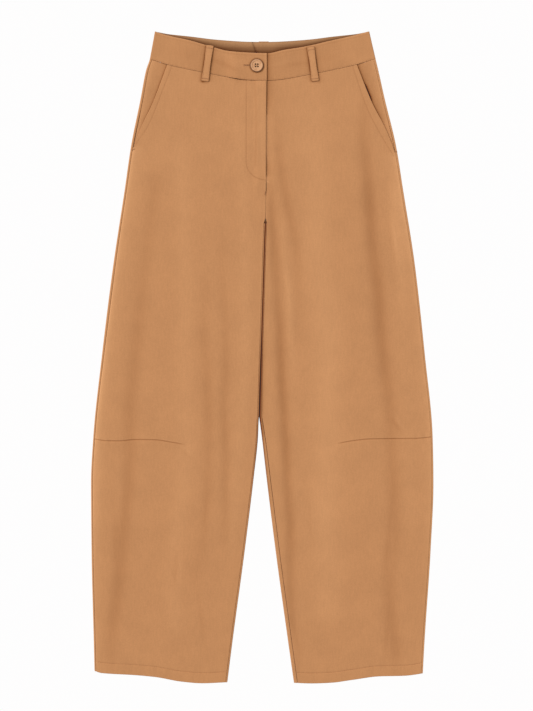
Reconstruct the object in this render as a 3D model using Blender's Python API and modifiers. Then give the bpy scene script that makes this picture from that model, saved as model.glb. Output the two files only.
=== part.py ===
"""Barrel leg trousers in cotton twill, laid flat on their back with the front facing up.

+Y runs from the hems to the waist, +Z up from the surface. The wearer's right side is at -X.
Every panel is a wall of cloth, lofted through rows of points worked out from the tables below.
"""
import math
from collections import namedtuple

import bmesh
import bpy
from mathutils import Vector

# Cloth and stack
PANEL_WALL = 0.0012
BAND_WALL = 0.0016
FACING_WALL = 0.0010
LOOP_WALL = 0.0012
GAP = 0.0003
EDGE_HEIGHT = 0.0040
TURN_RADIUS = EDGE_HEIGHT / 2
TURN_STEPS = 4

# Outline of the garment: the place of each side's outer edge at a height, waist to hem
Edges = namedtuple("Edges", "y right left")
OUTLINE = [
    Edges(0.5224, -0.1715, 0.1718),
    Edges(0.4778, -0.1797, 0.1820),
    Edges(0.4602, -0.1856, 0.1862),
    Edges(0.4122, -0.1948, 0.1970),
    Edges(0.3402, -0.2094, 0.2144),
    Edges(0.2682, -0.2199, 0.2260),
    Edges(0.1482, -0.2381, 0.2448),
    Edges(0.0042, -0.2562, 0.2608),
    Edges(-0.1286, -0.2702, 0.2733),
    Edges(-0.1998, -0.2737, 0.2745),
    Edges(-0.3078, -0.2729, 0.2700),
    Edges(-0.4518, -0.2694, 0.2604),
    Edges(-0.5224, -0.2676, 0.2566),
]

# Inner edges of the two legs, crotch to hem: they lie against each other down to the knee
LEG_INNER = [
    Edges(0.2234, 0.0055, 0.0059),
    Edges(0.2010, 0.0040, 0.0044),
    Edges(0.1082, 0.0013, 0.0017),
    Edges(0.0458, -0.0002, 0.0002),
    Edges(-0.0214, -0.0027, -0.0023),
    Edges(-0.0820, -0.0045, -0.0041),
    Edges(-0.0960, -0.0049, -0.0041),
    Edges(-0.1286, -0.0084, 0.0000),
    Edges(-0.1878, -0.0144, 0.0068),
    Edges(-0.3078, -0.0288, 0.0218),
    Edges(-0.4518, -0.0480, 0.0416),
    Edges(-0.5224, -0.0566, 0.0514),
]

# How far the back panel comes over the top of each edge, up to its seam with the front
Seams = namedtuple("Seams", "y right_out right_in left_in left_out")
SEAM_REACH = [
    Seams(0.4800, 0.0036, 0.0026, 0.0026, 0.0034),
    Seams(0.4122, 0.0040, 0.0026, 0.0026, 0.0034),
    Seams(0.2500, 0.0033, 0.0026, 0.0026, 0.0034),
    Seams(0.0500, 0.0038, 0.0026, 0.0026, 0.0028),
    Seams(-0.1700, 0.0028, 0.0026, 0.0060, 0.0027),
    Seams(-0.2300, 0.0027, 0.0026, 0.0064, 0.0027),
    Seams(-0.5224, 0.0027, 0.0026, 0.0060, 0.0027),
]

# Waist seams and band edges, from the centre out to a side
Waist = namedtuple("Waist", "x front_seam back_seam back_edge")
WAIST = [
    Waist(0.0000, 0.4430, 0.4606, 0.5052),
    Waist(0.0200, 0.4438, 0.4607, 0.5055),
    Waist(0.0400, 0.4462, 0.4614, 0.5066),
    Waist(0.0780, 0.4533, 0.4640, 0.5096),
    Waist(0.1130, 0.4602, 0.4680, 0.5140),
    Waist(0.1510, 0.4688, 0.4708, 0.5182),
    Waist(0.1680, 0.4740, 0.4740, 0.5214),
    Waist(0.1800, 0.4777, 0.4777, 0.5232),
    Waist(0.1850, 0.4792, 0.4792, 0.5240),
]
BandEdge = namedtuple("BandEdge", "x y")
FRONT_BAND_EDGE = [
    BandEdge(-0.1850, 0.5240),
    BandEdge(-0.1720, 0.5216),
    BandEdge(-0.1517, 0.5160),
    BandEdge(-0.1166, 0.5082),
    BandEdge(-0.0896, 0.5005),
    BandEdge(-0.0488, 0.4901),
    BandEdge(-0.0200, 0.4878),
    BandEdge(0.0072, 0.4869),
    BandEdge(0.0355, 0.4926),
    BandEdge(0.0704, 0.4984),
    BandEdge(0.1131, 0.5082),
    BandEdge(0.1480, 0.5160),
    BandEdge(0.1720, 0.5224),
    BandEdge(0.1850, 0.5250),
]

# Centre front, fly and crotch
Centre = namedtuple("Centre", "y x")
CENTRE_FRONT = [
    Centre(0.2234, 0.0057),
    Centre(0.2800, 0.0064),
    Centre(0.3402, 0.0066),
    Centre(0.4122, 0.0070),
    Centre(0.4430, 0.0074),
    Centre(0.4900, 0.0080),
]
CENTRE_BACK_X = 0.0027
CENTRE_BACK_TOP_Y = 0.4000
CENTRE_BACK_BEND = 0.1500
CROTCH_Y = 0.2234
LEG_START_Y = 0.2150
FLY_FOOT_Y = 0.2835
FLY_CURVE_Y = 0.3130
FLY_WIDTH = 0.0318
FLY_UNDERLAP = 0.0080
FLY_START_Y = 0.2500
FLY_START_LENGTH = 0.0300
FACING_GAP = 0.0004

# How the layers rise at the fly: height, how far it reaches from the edge, and its slope's length
Rise = namedtuple("Rise", "height reach slope")
FACING_RISE = Rise(0.0002, 0.0450, 0.0130)
FLY_RISE = Rise(0.0014, 0.0220, 0.0100)
UNDERLAP_DROP = Rise(0.0013, 0.0140, 0.0140)

# Waistband: its height at the sides, overlap, underlap and back join
BAND_SIDE_TOP_Y = 0.5222
BAND_SIDE_FOOT_Y = 0.4780
BAND_END_X = 0.0080
UNDERLAP_END_X = -0.0360
BACK_JOIN_TOP_X = -0.0150
BACK_JOIN_FOOT_X = 0.0000
OVERLAP_RISE = Rise(0.0032, 0.0620, 0.0240)
UNDERLAP_RISE = Rise(0.0010, 0.0650, 0.0300)

# The lift of the back layer over the centre back loop
LOOP_LIFT = Rise(0.0015, 0.0450, 0.0270)
LIFT_START_Y = 0.4000
LIFT_START_LENGTH = 0.0350

# Rows of points across the hips, at the centre and at the side, and down the legs
Level = namedtuple("Level", "centre side")
HIP_LEVELS = [
    Level(0.447, 0.4620),
    Level(0.425, 0.4430),
    Level(0.400, 0.4122),
    Level(0.375, 0.3800),
    Level(0.354, 0.3540),
]
LEG_LEVELS = [0.190, 0.160, 0.120, 0.080, 0.040, 0.000, -0.034, -0.068, -0.095, -0.115]
SHIN_LEVELS = [-0.165, -0.195, -0.235, -0.280, -0.330, -0.380, -0.430, -0.465]
SIDE_X = 0.185

# Slant pockets: the mouth line of each front, and the facing that shows inside it
POCKET_MOUTH = [
    Edges(0.3290, -0.2072, 0.2125),
    Edges(0.3402, -0.2042, 0.2092),
    Edges(0.3677, -0.1942, 0.1990),
    Edges(0.4064, -0.1758, 0.1795),
    Edges(0.4240, -0.1690, 0.1712),
    Edges(0.4688, -0.1517, 0.1518),
    Edges(0.4800, -0.1475, 0.1470),
]
POCKET_FOOT_Y = {"right": 0.3365, "left": 0.3270}
FACING_UNDERLAP = 0.0120
FACING_SHOWN_RISE = 0.0011
FACING_SHOWN_START = 0.0020
FACING_SHOWN_SLOPE = 0.0200
MOUTH_GAPE = {"right": 0.0003, "left": 0.0009}
MOUTH_GAPE_Y = 0.4230
MOUTH_GAPE_LENGTH = 0.0500
MOUTH_GAPE_WIDTH = 0.0220

# Knee darts: sewn from the outseam towards the inseam
Dart = namedtuple("Dart", "x y")
KNEE_DART = {
    "right": [Dart(-0.2750, -0.1290), Dart(-0.2504, -0.1328), Dart(-0.2299, -0.1333),
              Dart(-0.1993, -0.1310), Dart(-0.1688, -0.1317), Dart(-0.1443, -0.1354),
              Dart(-0.1238, -0.1389)],
    "left": [Dart(0.1206, -0.1374), Dart(0.1482, -0.1326), Dart(0.1747, -0.1301),
             Dart(0.2053, -0.1296), Dart(0.2461, -0.1293), Dart(0.2750, -0.1266)],
}
DART_LEVEL_Y = -0.1380
DART_DEPTH = 0.0007
DART_HALF_WIDTH = 0.0022

# Hems: the lower edge of each leg, and the turned depth up to the stitching
Hem = namedtuple("Hem", "x y")
HEM = {
    "right": [Hem(-0.2760, -0.4986), Hem(-0.2688, -0.5010), Hem(-0.2565, -0.5048),
              Hem(-0.2016, -0.5082), Hem(-0.1688, -0.5114), Hem(-0.1280, -0.5186),
              Hem(-0.0954, -0.5211), Hem(-0.0560, -0.5195)],
    "left": [Hem(0.0510, -0.5204), Hem(0.0787, -0.5214), Hem(0.1114, -0.5202),
             Hem(0.1440, -0.5158), Hem(0.1890, -0.5100), Hem(0.2258, -0.5092),
             Hem(0.2594, -0.5048), Hem(0.2700, -0.5014)],
}
HEM_DEPTH = 0.0168
HEM_RISE = 0.0004

# Belt loops: centre of the upper and lower end, width, and how they bow off the band
Loop = namedtuple("Loop", "name top_x top_y foot_x foot_y width")
FRONT_LOOPS = [
    Loop("belt_loop_front_right", -0.0829, 0.4997, -0.0900, 0.4421, 0.0122),
    Loop("belt_loop_front_left", 0.0778, 0.4970, 0.0854, 0.4421, 0.0122),
]
BACK_LOOP = Loop("belt_loop_back_centre", 0.0027, 0.5064, 0.0027, 0.4480, 0.0160)
LOOP_BOW = 0.0008

# Button
BUTTON_X = -0.0083
BUTTON_Y = 0.4669
BUTTON_RADIUS = 0.0107
BUTTON_HOLE_RADIUS = 0.0010
BUTTON_HOLE_SPACING = 0.0038
Ring = namedtuple("Ring", "radius height")
BUTTON_PROFILE = [
    Ring(0.0, 0.0020),
    Ring(0.0060, 0.0020),
    Ring(0.0070, 0.0028),
    Ring(0.0083, 0.0031),
    Ring(0.0096, 0.0026),
    Ring(BUTTON_RADIUS, 0.0016),
    Ring(0.0101, 0.0007),
    Ring(0.0083, 0.0),
    Ring(0.0, 0.0),
]

# Largest folds of the two fronts, each down a line of places from waist to hem
Fold = namedtuple("Fold", "side line half_width rise")
Place = namedtuple("Place", "y x")
FOLDS = [
    Fold("right", [Place(0.290, -0.173), Place(0.124, -0.187), Place(0.004, -0.211),
                   Place(-0.228, -0.216), Place(-0.468, -0.243)], 0.015, -0.0013),
    Fold("right", [Place(0.262, -0.075), Place(0.044, -0.080), Place(-0.060, -0.091),
                   Place(-0.188, -0.096), Place(-0.310, -0.128)], 0.013, -0.0011),
    Fold("right", [Place(-0.030, -0.058), Place(-0.270, -0.064)], 0.011, -0.0010),
    Fold("right", [Place(0.230, -0.125), Place(0.040, -0.140), Place(-0.320, -0.170)],
         0.022, 0.0009),
    Fold("left", [Place(0.320, 0.166), Place(0.191, 0.177), Place(0.046, 0.197),
                  Place(-0.060, 0.208), Place(-0.228, 0.208), Place(-0.468, 0.205)],
         0.014, -0.0016),
    Fold("left", [Place(0.343, 0.030), Place(0.283, 0.036), Place(0.222, 0.050),
                  Place(0.159, 0.058), Place(0.028, 0.053)], 0.012, -0.0011),
    Fold("left", [Place(0.190, 0.021), Place(0.110, 0.026), Place(-0.012, 0.037),
                  Place(-0.188, 0.040), Place(-0.308, 0.053)], 0.010, -0.0009),
    Fold("left", [Place(0.200, 0.110), Place(0.000, 0.118), Place(-0.360, 0.128)],
         0.026, 0.0009),
]
FOLD_FADE = 0.045
EDGE_FADE = 0.014

# The slight swell of each front between its seams, flatter at the waist and at the hem
CROWN = 0.0010
CROWN_TOP_Y = 0.4300
CROWN_TOP_LENGTH = 0.1100
CROWN_HEM_SHARE = 0.3
CROWN_HEM_Y = -0.5100
CROWN_HEM_LENGTH = 0.0700

# Colours, as linear values, with roughness
TWILL = ((0.545, 0.262, 0.112), 0.88)
TWILL_INSIDE = ((0.440, 0.205, 0.088), 0.92)
BUTTON_RESIN = ((0.720, 0.430, 0.240), 0.42)

SIDES = {"right": -1, "left": 1}


class Curve:
    """A smooth line through a table's rows that never swings past them."""

    def __init__(self, rows):
        rows = sorted(rows)
        self.at = [row[0] for row in rows]
        self.value = [row[1] for row in rows]
        steps = list(zip(self.at, self.at[1:], self.value, self.value[1:]))
        rates = [(v1 - v0) / (a1 - a0) for a0, a1, v0, v1 in steps]
        self.slope = [rates[0]]
        for before, after in zip(rates, rates[1:]):
            same_way = before * after > 0
            self.slope.append(2 * before * after / (before + after) if same_way else 0.0)
        self.slope.append(rates[-1])

    def __call__(self, place):
        if place <= self.at[0]:
            return self.value[0] + self.slope[0] * (place - self.at[0])
        if place >= self.at[-1]:
            return self.value[-1] + self.slope[-1] * (place - self.at[-1])
        row = next(i for i, at in enumerate(self.at[1:]) if place <= at)
        span = self.at[row + 1] - self.at[row]
        t = (place - self.at[row]) / span
        rest = 1 - t
        ends = self.value[row] * rest * rest * (1 + 2 * t)
        ends += self.value[row + 1] * t * t * (3 - 2 * t)
        slopes = self.slope[row] * t * rest * rest - self.slope[row + 1] * t * t * rest
        return ends + slopes * span


def column(table, key, value):
    """The curve of one named column of a table against another."""
    return Curve([(getattr(row, key), getattr(row, value)) for row in table])


def ease(value):
    """Rise smoothly from 0 to 1 as the value does."""
    value = min(max(value, 0.0), 1.0)
    return value * value * (3 - 2 * value)


def mix(start, end, share):
    """The place a share of the way from start to end."""
    return start + (end - start) * share


OUTER = {side: column(OUTLINE, "y", side) for side in SIDES}
INNER = {side: column(LEG_INNER, "y", side) for side in SIDES}
REACH_OUT = {side: column(SEAM_REACH, "y", side + "_out") for side in SIDES}
REACH_IN = {side: column(SEAM_REACH, "y", side + "_in") for side in SIDES}
FRONT_SEAM = column(WAIST, "x", "front_seam")
BACK_SEAM = column(WAIST, "x", "back_seam")
BACK_EDGE = column(WAIST, "x", "back_edge")
FRONT_EDGE = column(FRONT_BAND_EDGE, "x", "y")
FLY_EDGE = column(CENTRE_FRONT, "y", "x")
MOUTH = {side: column(POCKET_MOUTH, "y", side) for side in SIDES}
DART = {side: column(KNEE_DART[side], "x", "y") for side in SIDES}
DART_TIP = {side: min(abs(row.x) for row in KNEE_DART[side]) for side in SIDES}
HEM_LINE = {side: column(HEM[side], "x", "y") for side in SIDES}
FOLD_LINE = [Curve(fold.line) for fold in FOLDS]


def lift_share(x, y):
    """How much of its full lift the back layer has over the centre back belt loop."""
    beside = ease((LOOP_LIFT.reach - abs(x - CENTRE_BACK_X)) / LOOP_LIFT.slope)
    return beside * ease((y - LIFT_START_Y) / LIFT_START_LENGTH)


def front_edges(side, y):
    """Inner and outer edge of a front panel at a height."""
    sign = SIDES[side]
    if y > LEG_START_Y + GAP:
        inner = FLY_EDGE(y) + sign * GAP / 2
        if side == "left" and y > FLY_FOOT_Y:
            inner -= FLY_UNDERLAP
    else:
        inner = INNER[side](y) + sign * (REACH_IN[side](y) + GAP / 2)
    if y > POCKET_FOOT_Y[side]:
        outer = MOUTH[side](y)
    else:
        outer = OUTER[side](y) - sign * (REACH_OUT[side](y) + GAP / 2)
    return inner, outer


def fly_height(side, x, y):
    """Rise of the right front over the fly facing, and dip of the left front under it."""
    from_edge = FLY_EDGE(y) - x
    share = lift_share(x, y)
    if side == "right":
        over_facing = ease((FACING_RISE.reach - from_edge) / FACING_RISE.slope)
        rise = (FACING_RISE.height + LOOP_LIFT.height * share) * over_facing
        rise += FLY_RISE.height * ease((FLY_RISE.reach - from_edge) / FLY_RISE.slope)
    else:
        under_fly = ease((UNDERLAP_DROP.reach + from_edge) / UNDERLAP_DROP.slope)
        rise = FACING_RISE.height * share - UNDERLAP_DROP.height * (1 - share) * under_fly
    return rise * ease((y - FLY_START_Y) / FLY_START_LENGTH)


def fold_height(side, x, y):
    """Sum of the side's folds at a place."""
    rise = 0.0
    for fold, line in zip(FOLDS, FOLD_LINE):
        if fold.side != side:
            continue
        top, foot = line.at[-1], line.at[0]
        fade = ease((top + FOLD_FADE - y) / FOLD_FADE) * ease((y - foot + FOLD_FADE) / FOLD_FADE)
        away = (x - line(min(max(y, foot), top))) / fold.half_width
        rise += fold.rise * fade * math.exp(-away * away)
    return rise


def dart_y(side, x):
    """The line of a knee dart, carried on level past its tip."""
    past_tip = ease((DART_TIP[side] - abs(x)) / 0.050)
    return mix(DART[side](x), DART_LEVEL_Y, past_tip)


def dart_depth(side, x, y):
    """Depth of the sewn knee dart, which runs out at its tip."""
    away = (y - dart_y(side, x)) / DART_HALF_WIDTH
    return DART_DEPTH * ease((abs(x) - DART_TIP[side]) / 0.050) * math.exp(-away * away)


def front_top(side, x, y):
    """Height of a front panel's outer face."""
    inner, outer = front_edges(side, y)
    across = min(max((x - inner) / (outer - inner), 0.0), 1.0)
    inside = ease(min(abs(x - inner), abs(outer - x)) / EDGE_FADE)
    crown = CROWN * math.sin(math.pi * across)
    crown *= ease((CROWN_TOP_Y - y) / CROWN_TOP_LENGTH)
    crown *= mix(CROWN_HEM_SHARE, 1.0, ease((y - CROWN_HEM_Y) / CROWN_HEM_LENGTH))
    top = EDGE_HEIGHT + crown + inside * fold_height(side, x, y)
    top -= inside * dart_depth(side, x, y)
    top += HEM_RISE * ease((HEM_LINE[side](x) + HEM_DEPTH + 0.001 - y) / 0.002)
    top += fly_height(side, x, y)
    from_mouth = abs(x - MOUTH[side](y))
    gape = ease(1 - abs(y - MOUTH_GAPE_Y) / MOUTH_GAPE_LENGTH)
    return top + MOUTH_GAPE[side] * gape * ease(1 - from_mouth / MOUTH_GAPE_WIDTH)


def new_object(name, mesh, finish, collection):
    """Name a mesh's object, give it its own material and put it in the collection."""
    colour, roughness = finish
    material = bpy.data.materials.new(name)
    material.use_nodes = True
    shader = material.node_tree.nodes["Principled BSDF"]
    shader.inputs["Base Color"].default_value = (*colour, 1.0)
    shader.inputs["Roughness"].default_value = roughness
    shader.inputs["Metallic"].default_value = 0.0
    mesh.materials.append(material)
    thing = bpy.data.objects.new(name, mesh)
    collection.objects.link(thing)
    return thing


def cloth(name, rows, wall, finish, collection):
    """Loft an outer face through rows of points and give it the cloth's wall inward.

    A row may hold None where the cloth ends, and no face is made there.
    """
    points = []
    numbers = []
    for row in rows:
        numbers.append([])
        for point in row:
            numbers[-1].append(None if point is None else len(points))
            if point is not None:
                points.append(point)
    faces = []
    for upper, lower in zip(numbers, numbers[1:]):
        for step in range(len(upper) - 1):
            corners = (upper[step], lower[step], lower[step + 1], upper[step + 1])
            if None not in corners:
                faces.append(corners)
    mesh = bpy.data.meshes.new(name)
    mesh.from_pydata(points, [], faces)
    mesh.shade_smooth()
    mesh.set_sharp_from_angle(angle=math.radians(50))
    thing = new_object(name, mesh, finish, collection)
    solid = thing.modifiers.new("Wall", "SOLIDIFY")
    solid.thickness = wall
    solid.offset = -1
    solid.use_even_offset = True
    solid.use_quality_normals = True
    return thing


def level(place):
    """A row straight across the cloth."""
    return lambda x: place


def hip_level(row):
    """A row that climbs from the centre to the side."""
    return lambda x: mix(row.centre, row.side, min(abs(x) / SIDE_X, 1.0) ** 2)


def leg_levels(side):
    """The rows that a front and its back share, from the pocket's foot to the hem."""
    rows = [level(POCKET_FOOT_Y[side] - 0.0006), level(0.310), level(FLY_FOOT_Y + 0.0010)]
    rows += [level(FLY_FOOT_Y - 0.0016), level(0.265), level(0.245), level(CROTCH_Y)]
    rows += [level(LEG_START_Y)] + [level(place) for place in LEG_LEVELS]
    rows += [lambda x, off=off: dart_y(side, x) + off for off in (0.005, 0.0, -0.005)]
    rows += [level(place) for place in SHIN_LEVELS]
    hem_offsets = (HEM_DEPTH + 0.001, HEM_DEPTH - 0.001, 0.0)
    rows += [lambda x, off=off: HEM_LINE[side](x) + off for off in hem_offsets]
    return rows


def meet(edge, height):
    """Where a row crosses an edge of the cloth: both depend on each other."""
    y = height(0.0)
    for _ in range(8):
        y = height(edge(y))
    return edge(y), y


def front_rows(side):
    """Rows of a front panel from the waist seam to the hem, each from -X to +X."""
    near_centre = [0.0, 0.006, 0.012, 0.017, 0.022, 0.032, 0.045]
    beyond = [0.1, 0.2, 0.3, 0.4, 0.5, 0.6, 0.7, 0.8, 0.88, 0.95, 1.0]
    sign = SIDES[side]

    def row_at(height):
        inner = meet(lambda y: front_edges(side, y)[0], height)[0]
        outer = meet(lambda y: front_edges(side, y)[1], height)[0]
        places = [inner + sign * away for away in near_centre]
        places += [mix(places[-1], outer, share) for share in beyond]
        row = [(x, height(x), front_top(side, x, height(x))) for x in places]
        return row if side == "left" else row[::-1]

    heights = [lambda x: FRONT_SEAM(abs(x)) - GAP / 2]
    heights += [hip_level(row) for row in HIP_LEVELS[1:]]
    heights += [level(POCKET_FOOT_Y[side] + 0.0006)] + leg_levels(side)
    return [row_at(height) for height in heights]


def turn(edge, outward, reach):
    """The path (x, z) from the flat underside up round an edge to the seam on top."""
    path = []
    for step in range(TURN_STEPS + 1):
        angle = math.pi * (step / TURN_STEPS - 0.5)
        path.append((edge - outward * TURN_RADIUS * (1 - math.cos(angle)),
                     TURN_RADIUS * (1 + math.sin(angle))))
    path.append((edge - outward * reach, EDGE_HEIGHT))
    return path


def back_rows(side):
    """Rows of a back panel, each from the seam at +X under the leg to the seam at -X."""
    sign = SIDES[side]
    under = 7

    def row_at(height):
        edge, y = meet(OUTER[side], height)
        outer = turn(edge, sign, REACH_OUT[side](y) - GAP / 2)
        edge, y = meet(INNER[side], height)
        inner = turn(edge, -sign, REACH_IN[side](y) - GAP / 2)
        if y > LEG_START_Y + GAP:
            bend = ease((CENTRE_BACK_TOP_Y - y) / CENTRE_BACK_BEND)
            centre = mix(CENTRE_BACK_X, FLY_EDGE(CROTCH_Y), bend)
            inner = [(centre + sign * 0.006, 0.0), (centre + sign * GAP / 2, 0.0)]
            inner += [None] * TURN_STEPS
        middle = [(mix(inner[0][0], outer[0][0], step / (under + 1)), 0.0)
                  for step in range(1, under + 1)]
        path = inner[::-1] + middle + outer
        row = []
        for point in path if side == "right" else path[::-1]:
            if point is not None:
                x, z = point
                point = (x, height(x), z + LOOP_LIFT.height * lift_share(x, height(x)))
            row.append(point)
        return row

    heights = [lambda x: BACK_SEAM(abs(x)) - GAP / 2]
    heights += [hip_level(row) for row in HIP_LEVELS] + leg_levels(side)
    return [row_at(height) for height in heights]


def pocket_facing_rows(side):
    """Rows of the facing inside a slant pocket, lying under the front past the mouth."""
    sign = SIDES[side]
    low = PANEL_WALL + GAP + FACING_WALL

    def row_at(height):
        outer = meet(lambda y: OUTER[side](y) - sign * (REACH_OUT[side](y) + GAP), height)[0]
        inner = meet(lambda y: MOUTH[side](y) - sign * FACING_UNDERLAP, height)[0]
        row = []
        for share in (0.0, 0.2, 0.35, 0.5, 0.65, 0.8, 1.0):
            x = mix(inner, outer, share)
            shown = sign * (x - MOUTH[side](height(x)))
            rise = FACING_SHOWN_RISE * ease((shown - FACING_SHOWN_START) / FACING_SHOWN_SLOPE)
            row.append((x, height(x), low + rise))
        return row if side == "left" else row[::-1]

    heights = [lambda x: FRONT_SEAM(abs(x)) - GAP / 2]
    heights += [hip_level(row) for row in HIP_LEVELS]
    heights.append(level(POCKET_FOOT_Y[side] - 0.0006))
    return [row_at(height) for height in heights]


def fly_facing_rows():
    """Rows of the J shaped facing, a gap below the right front's inner face."""
    distances = [FLY_WIDTH, 0.027, 0.022, 0.017, 0.012, 0.006, GAP]
    places = [0.0, 0.11, 0.27, 0.42, 0.56, 0.7, 0.85, 1.0]
    below = PANEL_WALL + FACING_GAP
    rows = []
    for place in places:
        row = []
        for from_edge in distances:
            foot = FLY_CURVE_Y - (FLY_CURVE_Y - FLY_FOOT_Y) * math.sqrt(
                1 - (from_edge / FLY_WIDTH) ** 2)
            top = FRONT_SEAM(abs(BAND_END_X - from_edge)) - GAP / 2
            y = mix(top, foot, place)
            x = FLY_EDGE(y) - from_edge
            row.append((x, y, front_top("right", x, y) - below))
        rows.append(row)
    return rows


def band_height(side, x):
    """Height of the waistband's front layer, raised where its ends lie over each other."""
    rise = OVERLAP_RISE if side == "right" else UNDERLAP_RISE
    return EDGE_HEIGHT + rise.height * ease((rise.reach - SIDES[side] * x) / rise.slope)


def waistband_rows(side):
    """Rows of half a waistband: back layer, turn at the side, front layer to its end."""
    sign = SIDES[side]
    shares = [0.0, 0.25, 0.5, 0.75, 1.0]
    front_end = BAND_END_X if side == "right" else UNDERLAP_END_X
    rows = []
    for share in shares:
        edge = mix(OUTER[side](BAND_SIDE_TOP_Y), OUTER[side](BAND_SIDE_FOOT_Y), share)
        join = mix(BACK_JOIN_TOP_X, BACK_JOIN_FOOT_X, share) + sign * GAP / 2
        side_turn = turn(edge, sign, TURN_RADIUS + 0.001)[:-1]
        back = [(mix(join, side_turn[0][0], step / 9), 0.0) for step in range(9)]
        front = [(mix(side_turn[-1][0], front_end, step / 12), 0.0) for step in range(1, 13)]
        row = []
        for x, z in back + side_turn:
            y = mix(BACK_EDGE(abs(x)), BACK_SEAM(abs(x)) + GAP / 2, share)
            row.append((x, y, z + LOOP_LIFT.height * lift_share(x, y)))
        for x, z in front:
            y = mix(FRONT_EDGE(x), FRONT_SEAM(abs(x)) + GAP / 2, share)
            row.append((x, y, band_height(side, x)))
        rows.append(row if side == "right" else row[::-1])
    return rows


def strip_rows(loop, steps, height):
    """Rows of a belt loop, three points across, at the height a function gives."""
    rows = []
    for step in range(steps + 1):
        share = step / steps
        x = mix(loop.top_x, loop.foot_x, share)
        y = mix(loop.top_y, loop.foot_y, share)
        lean = (loop.foot_x - loop.top_x) / (loop.foot_y - loop.top_y)
        row = []
        for across in (-0.5, 0.0, 0.5):
            point_x = x + across * loop.width
            point_y = y - across * loop.width * lean
            row.append((point_x, point_y, height(point_x, point_y, share)))
        rows.append(row)
    return rows


def over_band(x, y, share):
    """Outer face of a front belt loop, bowed a little between its sewn ends."""
    side = "right" if x < 0 else "left"
    carrier = max(band_height(side, x), front_top(side, x, y))
    return carrier + GAP + LOOP_WALL + LOOP_BOW * math.sin(math.pi * share)


def button(collection):
    """Turned resin button with a raised rim and four holes, on top of the overlap."""
    foot = band_height("right", BUTTON_X) + GAP
    mesh = bpy.data.meshes.new("button")
    points = [(ring.radius, 0.0, ring.height) for ring in BUTTON_PROFILE]
    mesh.from_pydata(points, [(i, i + 1) for i in range(len(points) - 1)], [])
    thing = new_object("button", mesh, BUTTON_RESIN, collection)
    thing.location = (BUTTON_X, BUTTON_Y, foot)
    turned = thing.modifiers.new("Turned", "SCREW")
    turned.steps = 28
    turned.render_steps = 28
    turned.use_merge_vertices = True
    turned.merge_threshold = 0.00001
    return thing


def button_holes(target, cutters):
    """Cut the four thread holes through the button."""
    half = BUTTON_HOLE_SPACING / 2
    drill = bmesh.new()
    for x in (-half, half):
        for y in (-half, half):
            made = bmesh.ops.create_cone(drill, cap_ends=True, segments=10, depth=0.010,
                                         radius1=BUTTON_HOLE_RADIUS, radius2=BUTTON_HOLE_RADIUS)
            bmesh.ops.translate(drill, verts=made["verts"], vec=Vector((x, y, 0.001)))
    mesh = bpy.data.meshes.new("thread_holes")
    drill.to_mesh(mesh)
    drill.free()
    cutter = bpy.data.objects.new("thread_holes", mesh)
    cutters.objects.link(cutter)
    cutter.location = target.location
    cutter.hide_render = True
    cutter.display_type = "WIRE"
    cut = target.modifiers.new("Thread holes", "BOOLEAN")
    cut.operation = "DIFFERENCE"
    cut.object = cutter


def build():
    """Make every piece of the trousers."""
    for thing in list(bpy.data.objects):
        bpy.data.objects.remove(thing)
    parts = bpy.data.collections.new("barrel_leg_trousers")
    cutters = bpy.data.collections.new("cutters")
    for collection in (parts, cutters):
        bpy.context.scene.collection.children.link(collection)
    for side in SIDES:
        cloth("front_panel_" + side, front_rows(side), PANEL_WALL, TWILL, parts)
        cloth("back_panel_" + side, back_rows(side), PANEL_WALL, TWILL, parts)
        cloth("pocket_facing_" + side, pocket_facing_rows(side), FACING_WALL, TWILL, parts)
        cloth("waistband_" + side, waistband_rows(side), BAND_WALL, TWILL, parts)
    cloth("fly_facing", fly_facing_rows(), FACING_WALL, TWILL_INSIDE, parts)
    for loop in FRONT_LOOPS:
        cloth(loop.name, strip_rows(loop, 12, over_band), LOOP_WALL, TWILL, parts)
    cloth(BACK_LOOP.name, strip_rows(BACK_LOOP, 6, lambda x, y, share: LOOP_WALL),
          LOOP_WALL, TWILL, parts)
    button_holes(button(parts), cutters)


build()
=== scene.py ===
import math
from collections import namedtuple

import bpy
import numpy as np
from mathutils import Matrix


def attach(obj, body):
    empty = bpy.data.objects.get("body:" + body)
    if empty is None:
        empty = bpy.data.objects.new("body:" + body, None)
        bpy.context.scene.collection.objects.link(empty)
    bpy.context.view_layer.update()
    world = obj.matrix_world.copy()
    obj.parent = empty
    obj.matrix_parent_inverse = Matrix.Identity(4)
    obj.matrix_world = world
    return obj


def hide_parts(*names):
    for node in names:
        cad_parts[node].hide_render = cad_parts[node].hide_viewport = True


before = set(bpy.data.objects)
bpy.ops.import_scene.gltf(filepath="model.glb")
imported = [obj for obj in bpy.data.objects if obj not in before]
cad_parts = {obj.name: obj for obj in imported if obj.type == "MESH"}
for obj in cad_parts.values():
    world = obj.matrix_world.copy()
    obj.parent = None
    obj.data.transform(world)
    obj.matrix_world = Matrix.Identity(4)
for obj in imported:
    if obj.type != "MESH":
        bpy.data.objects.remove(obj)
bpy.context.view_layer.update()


# Back panels. Two long pieces of tan cotton twill, cut on the straight grain. Laid out, each is
# the flat underside of a leg, turned up round both edges to its seams with the front.

Row = namedtuple("Row", "y right left")
SIDES = {"right": -1, "left": 1}
SHELL = 0.0009
SEAM = 0.0002
EDGE_HEIGHT = 0.0040
TURN_RADIUS = EDGE_HEIGHT / 2
TURN_STEPS = 14
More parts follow.
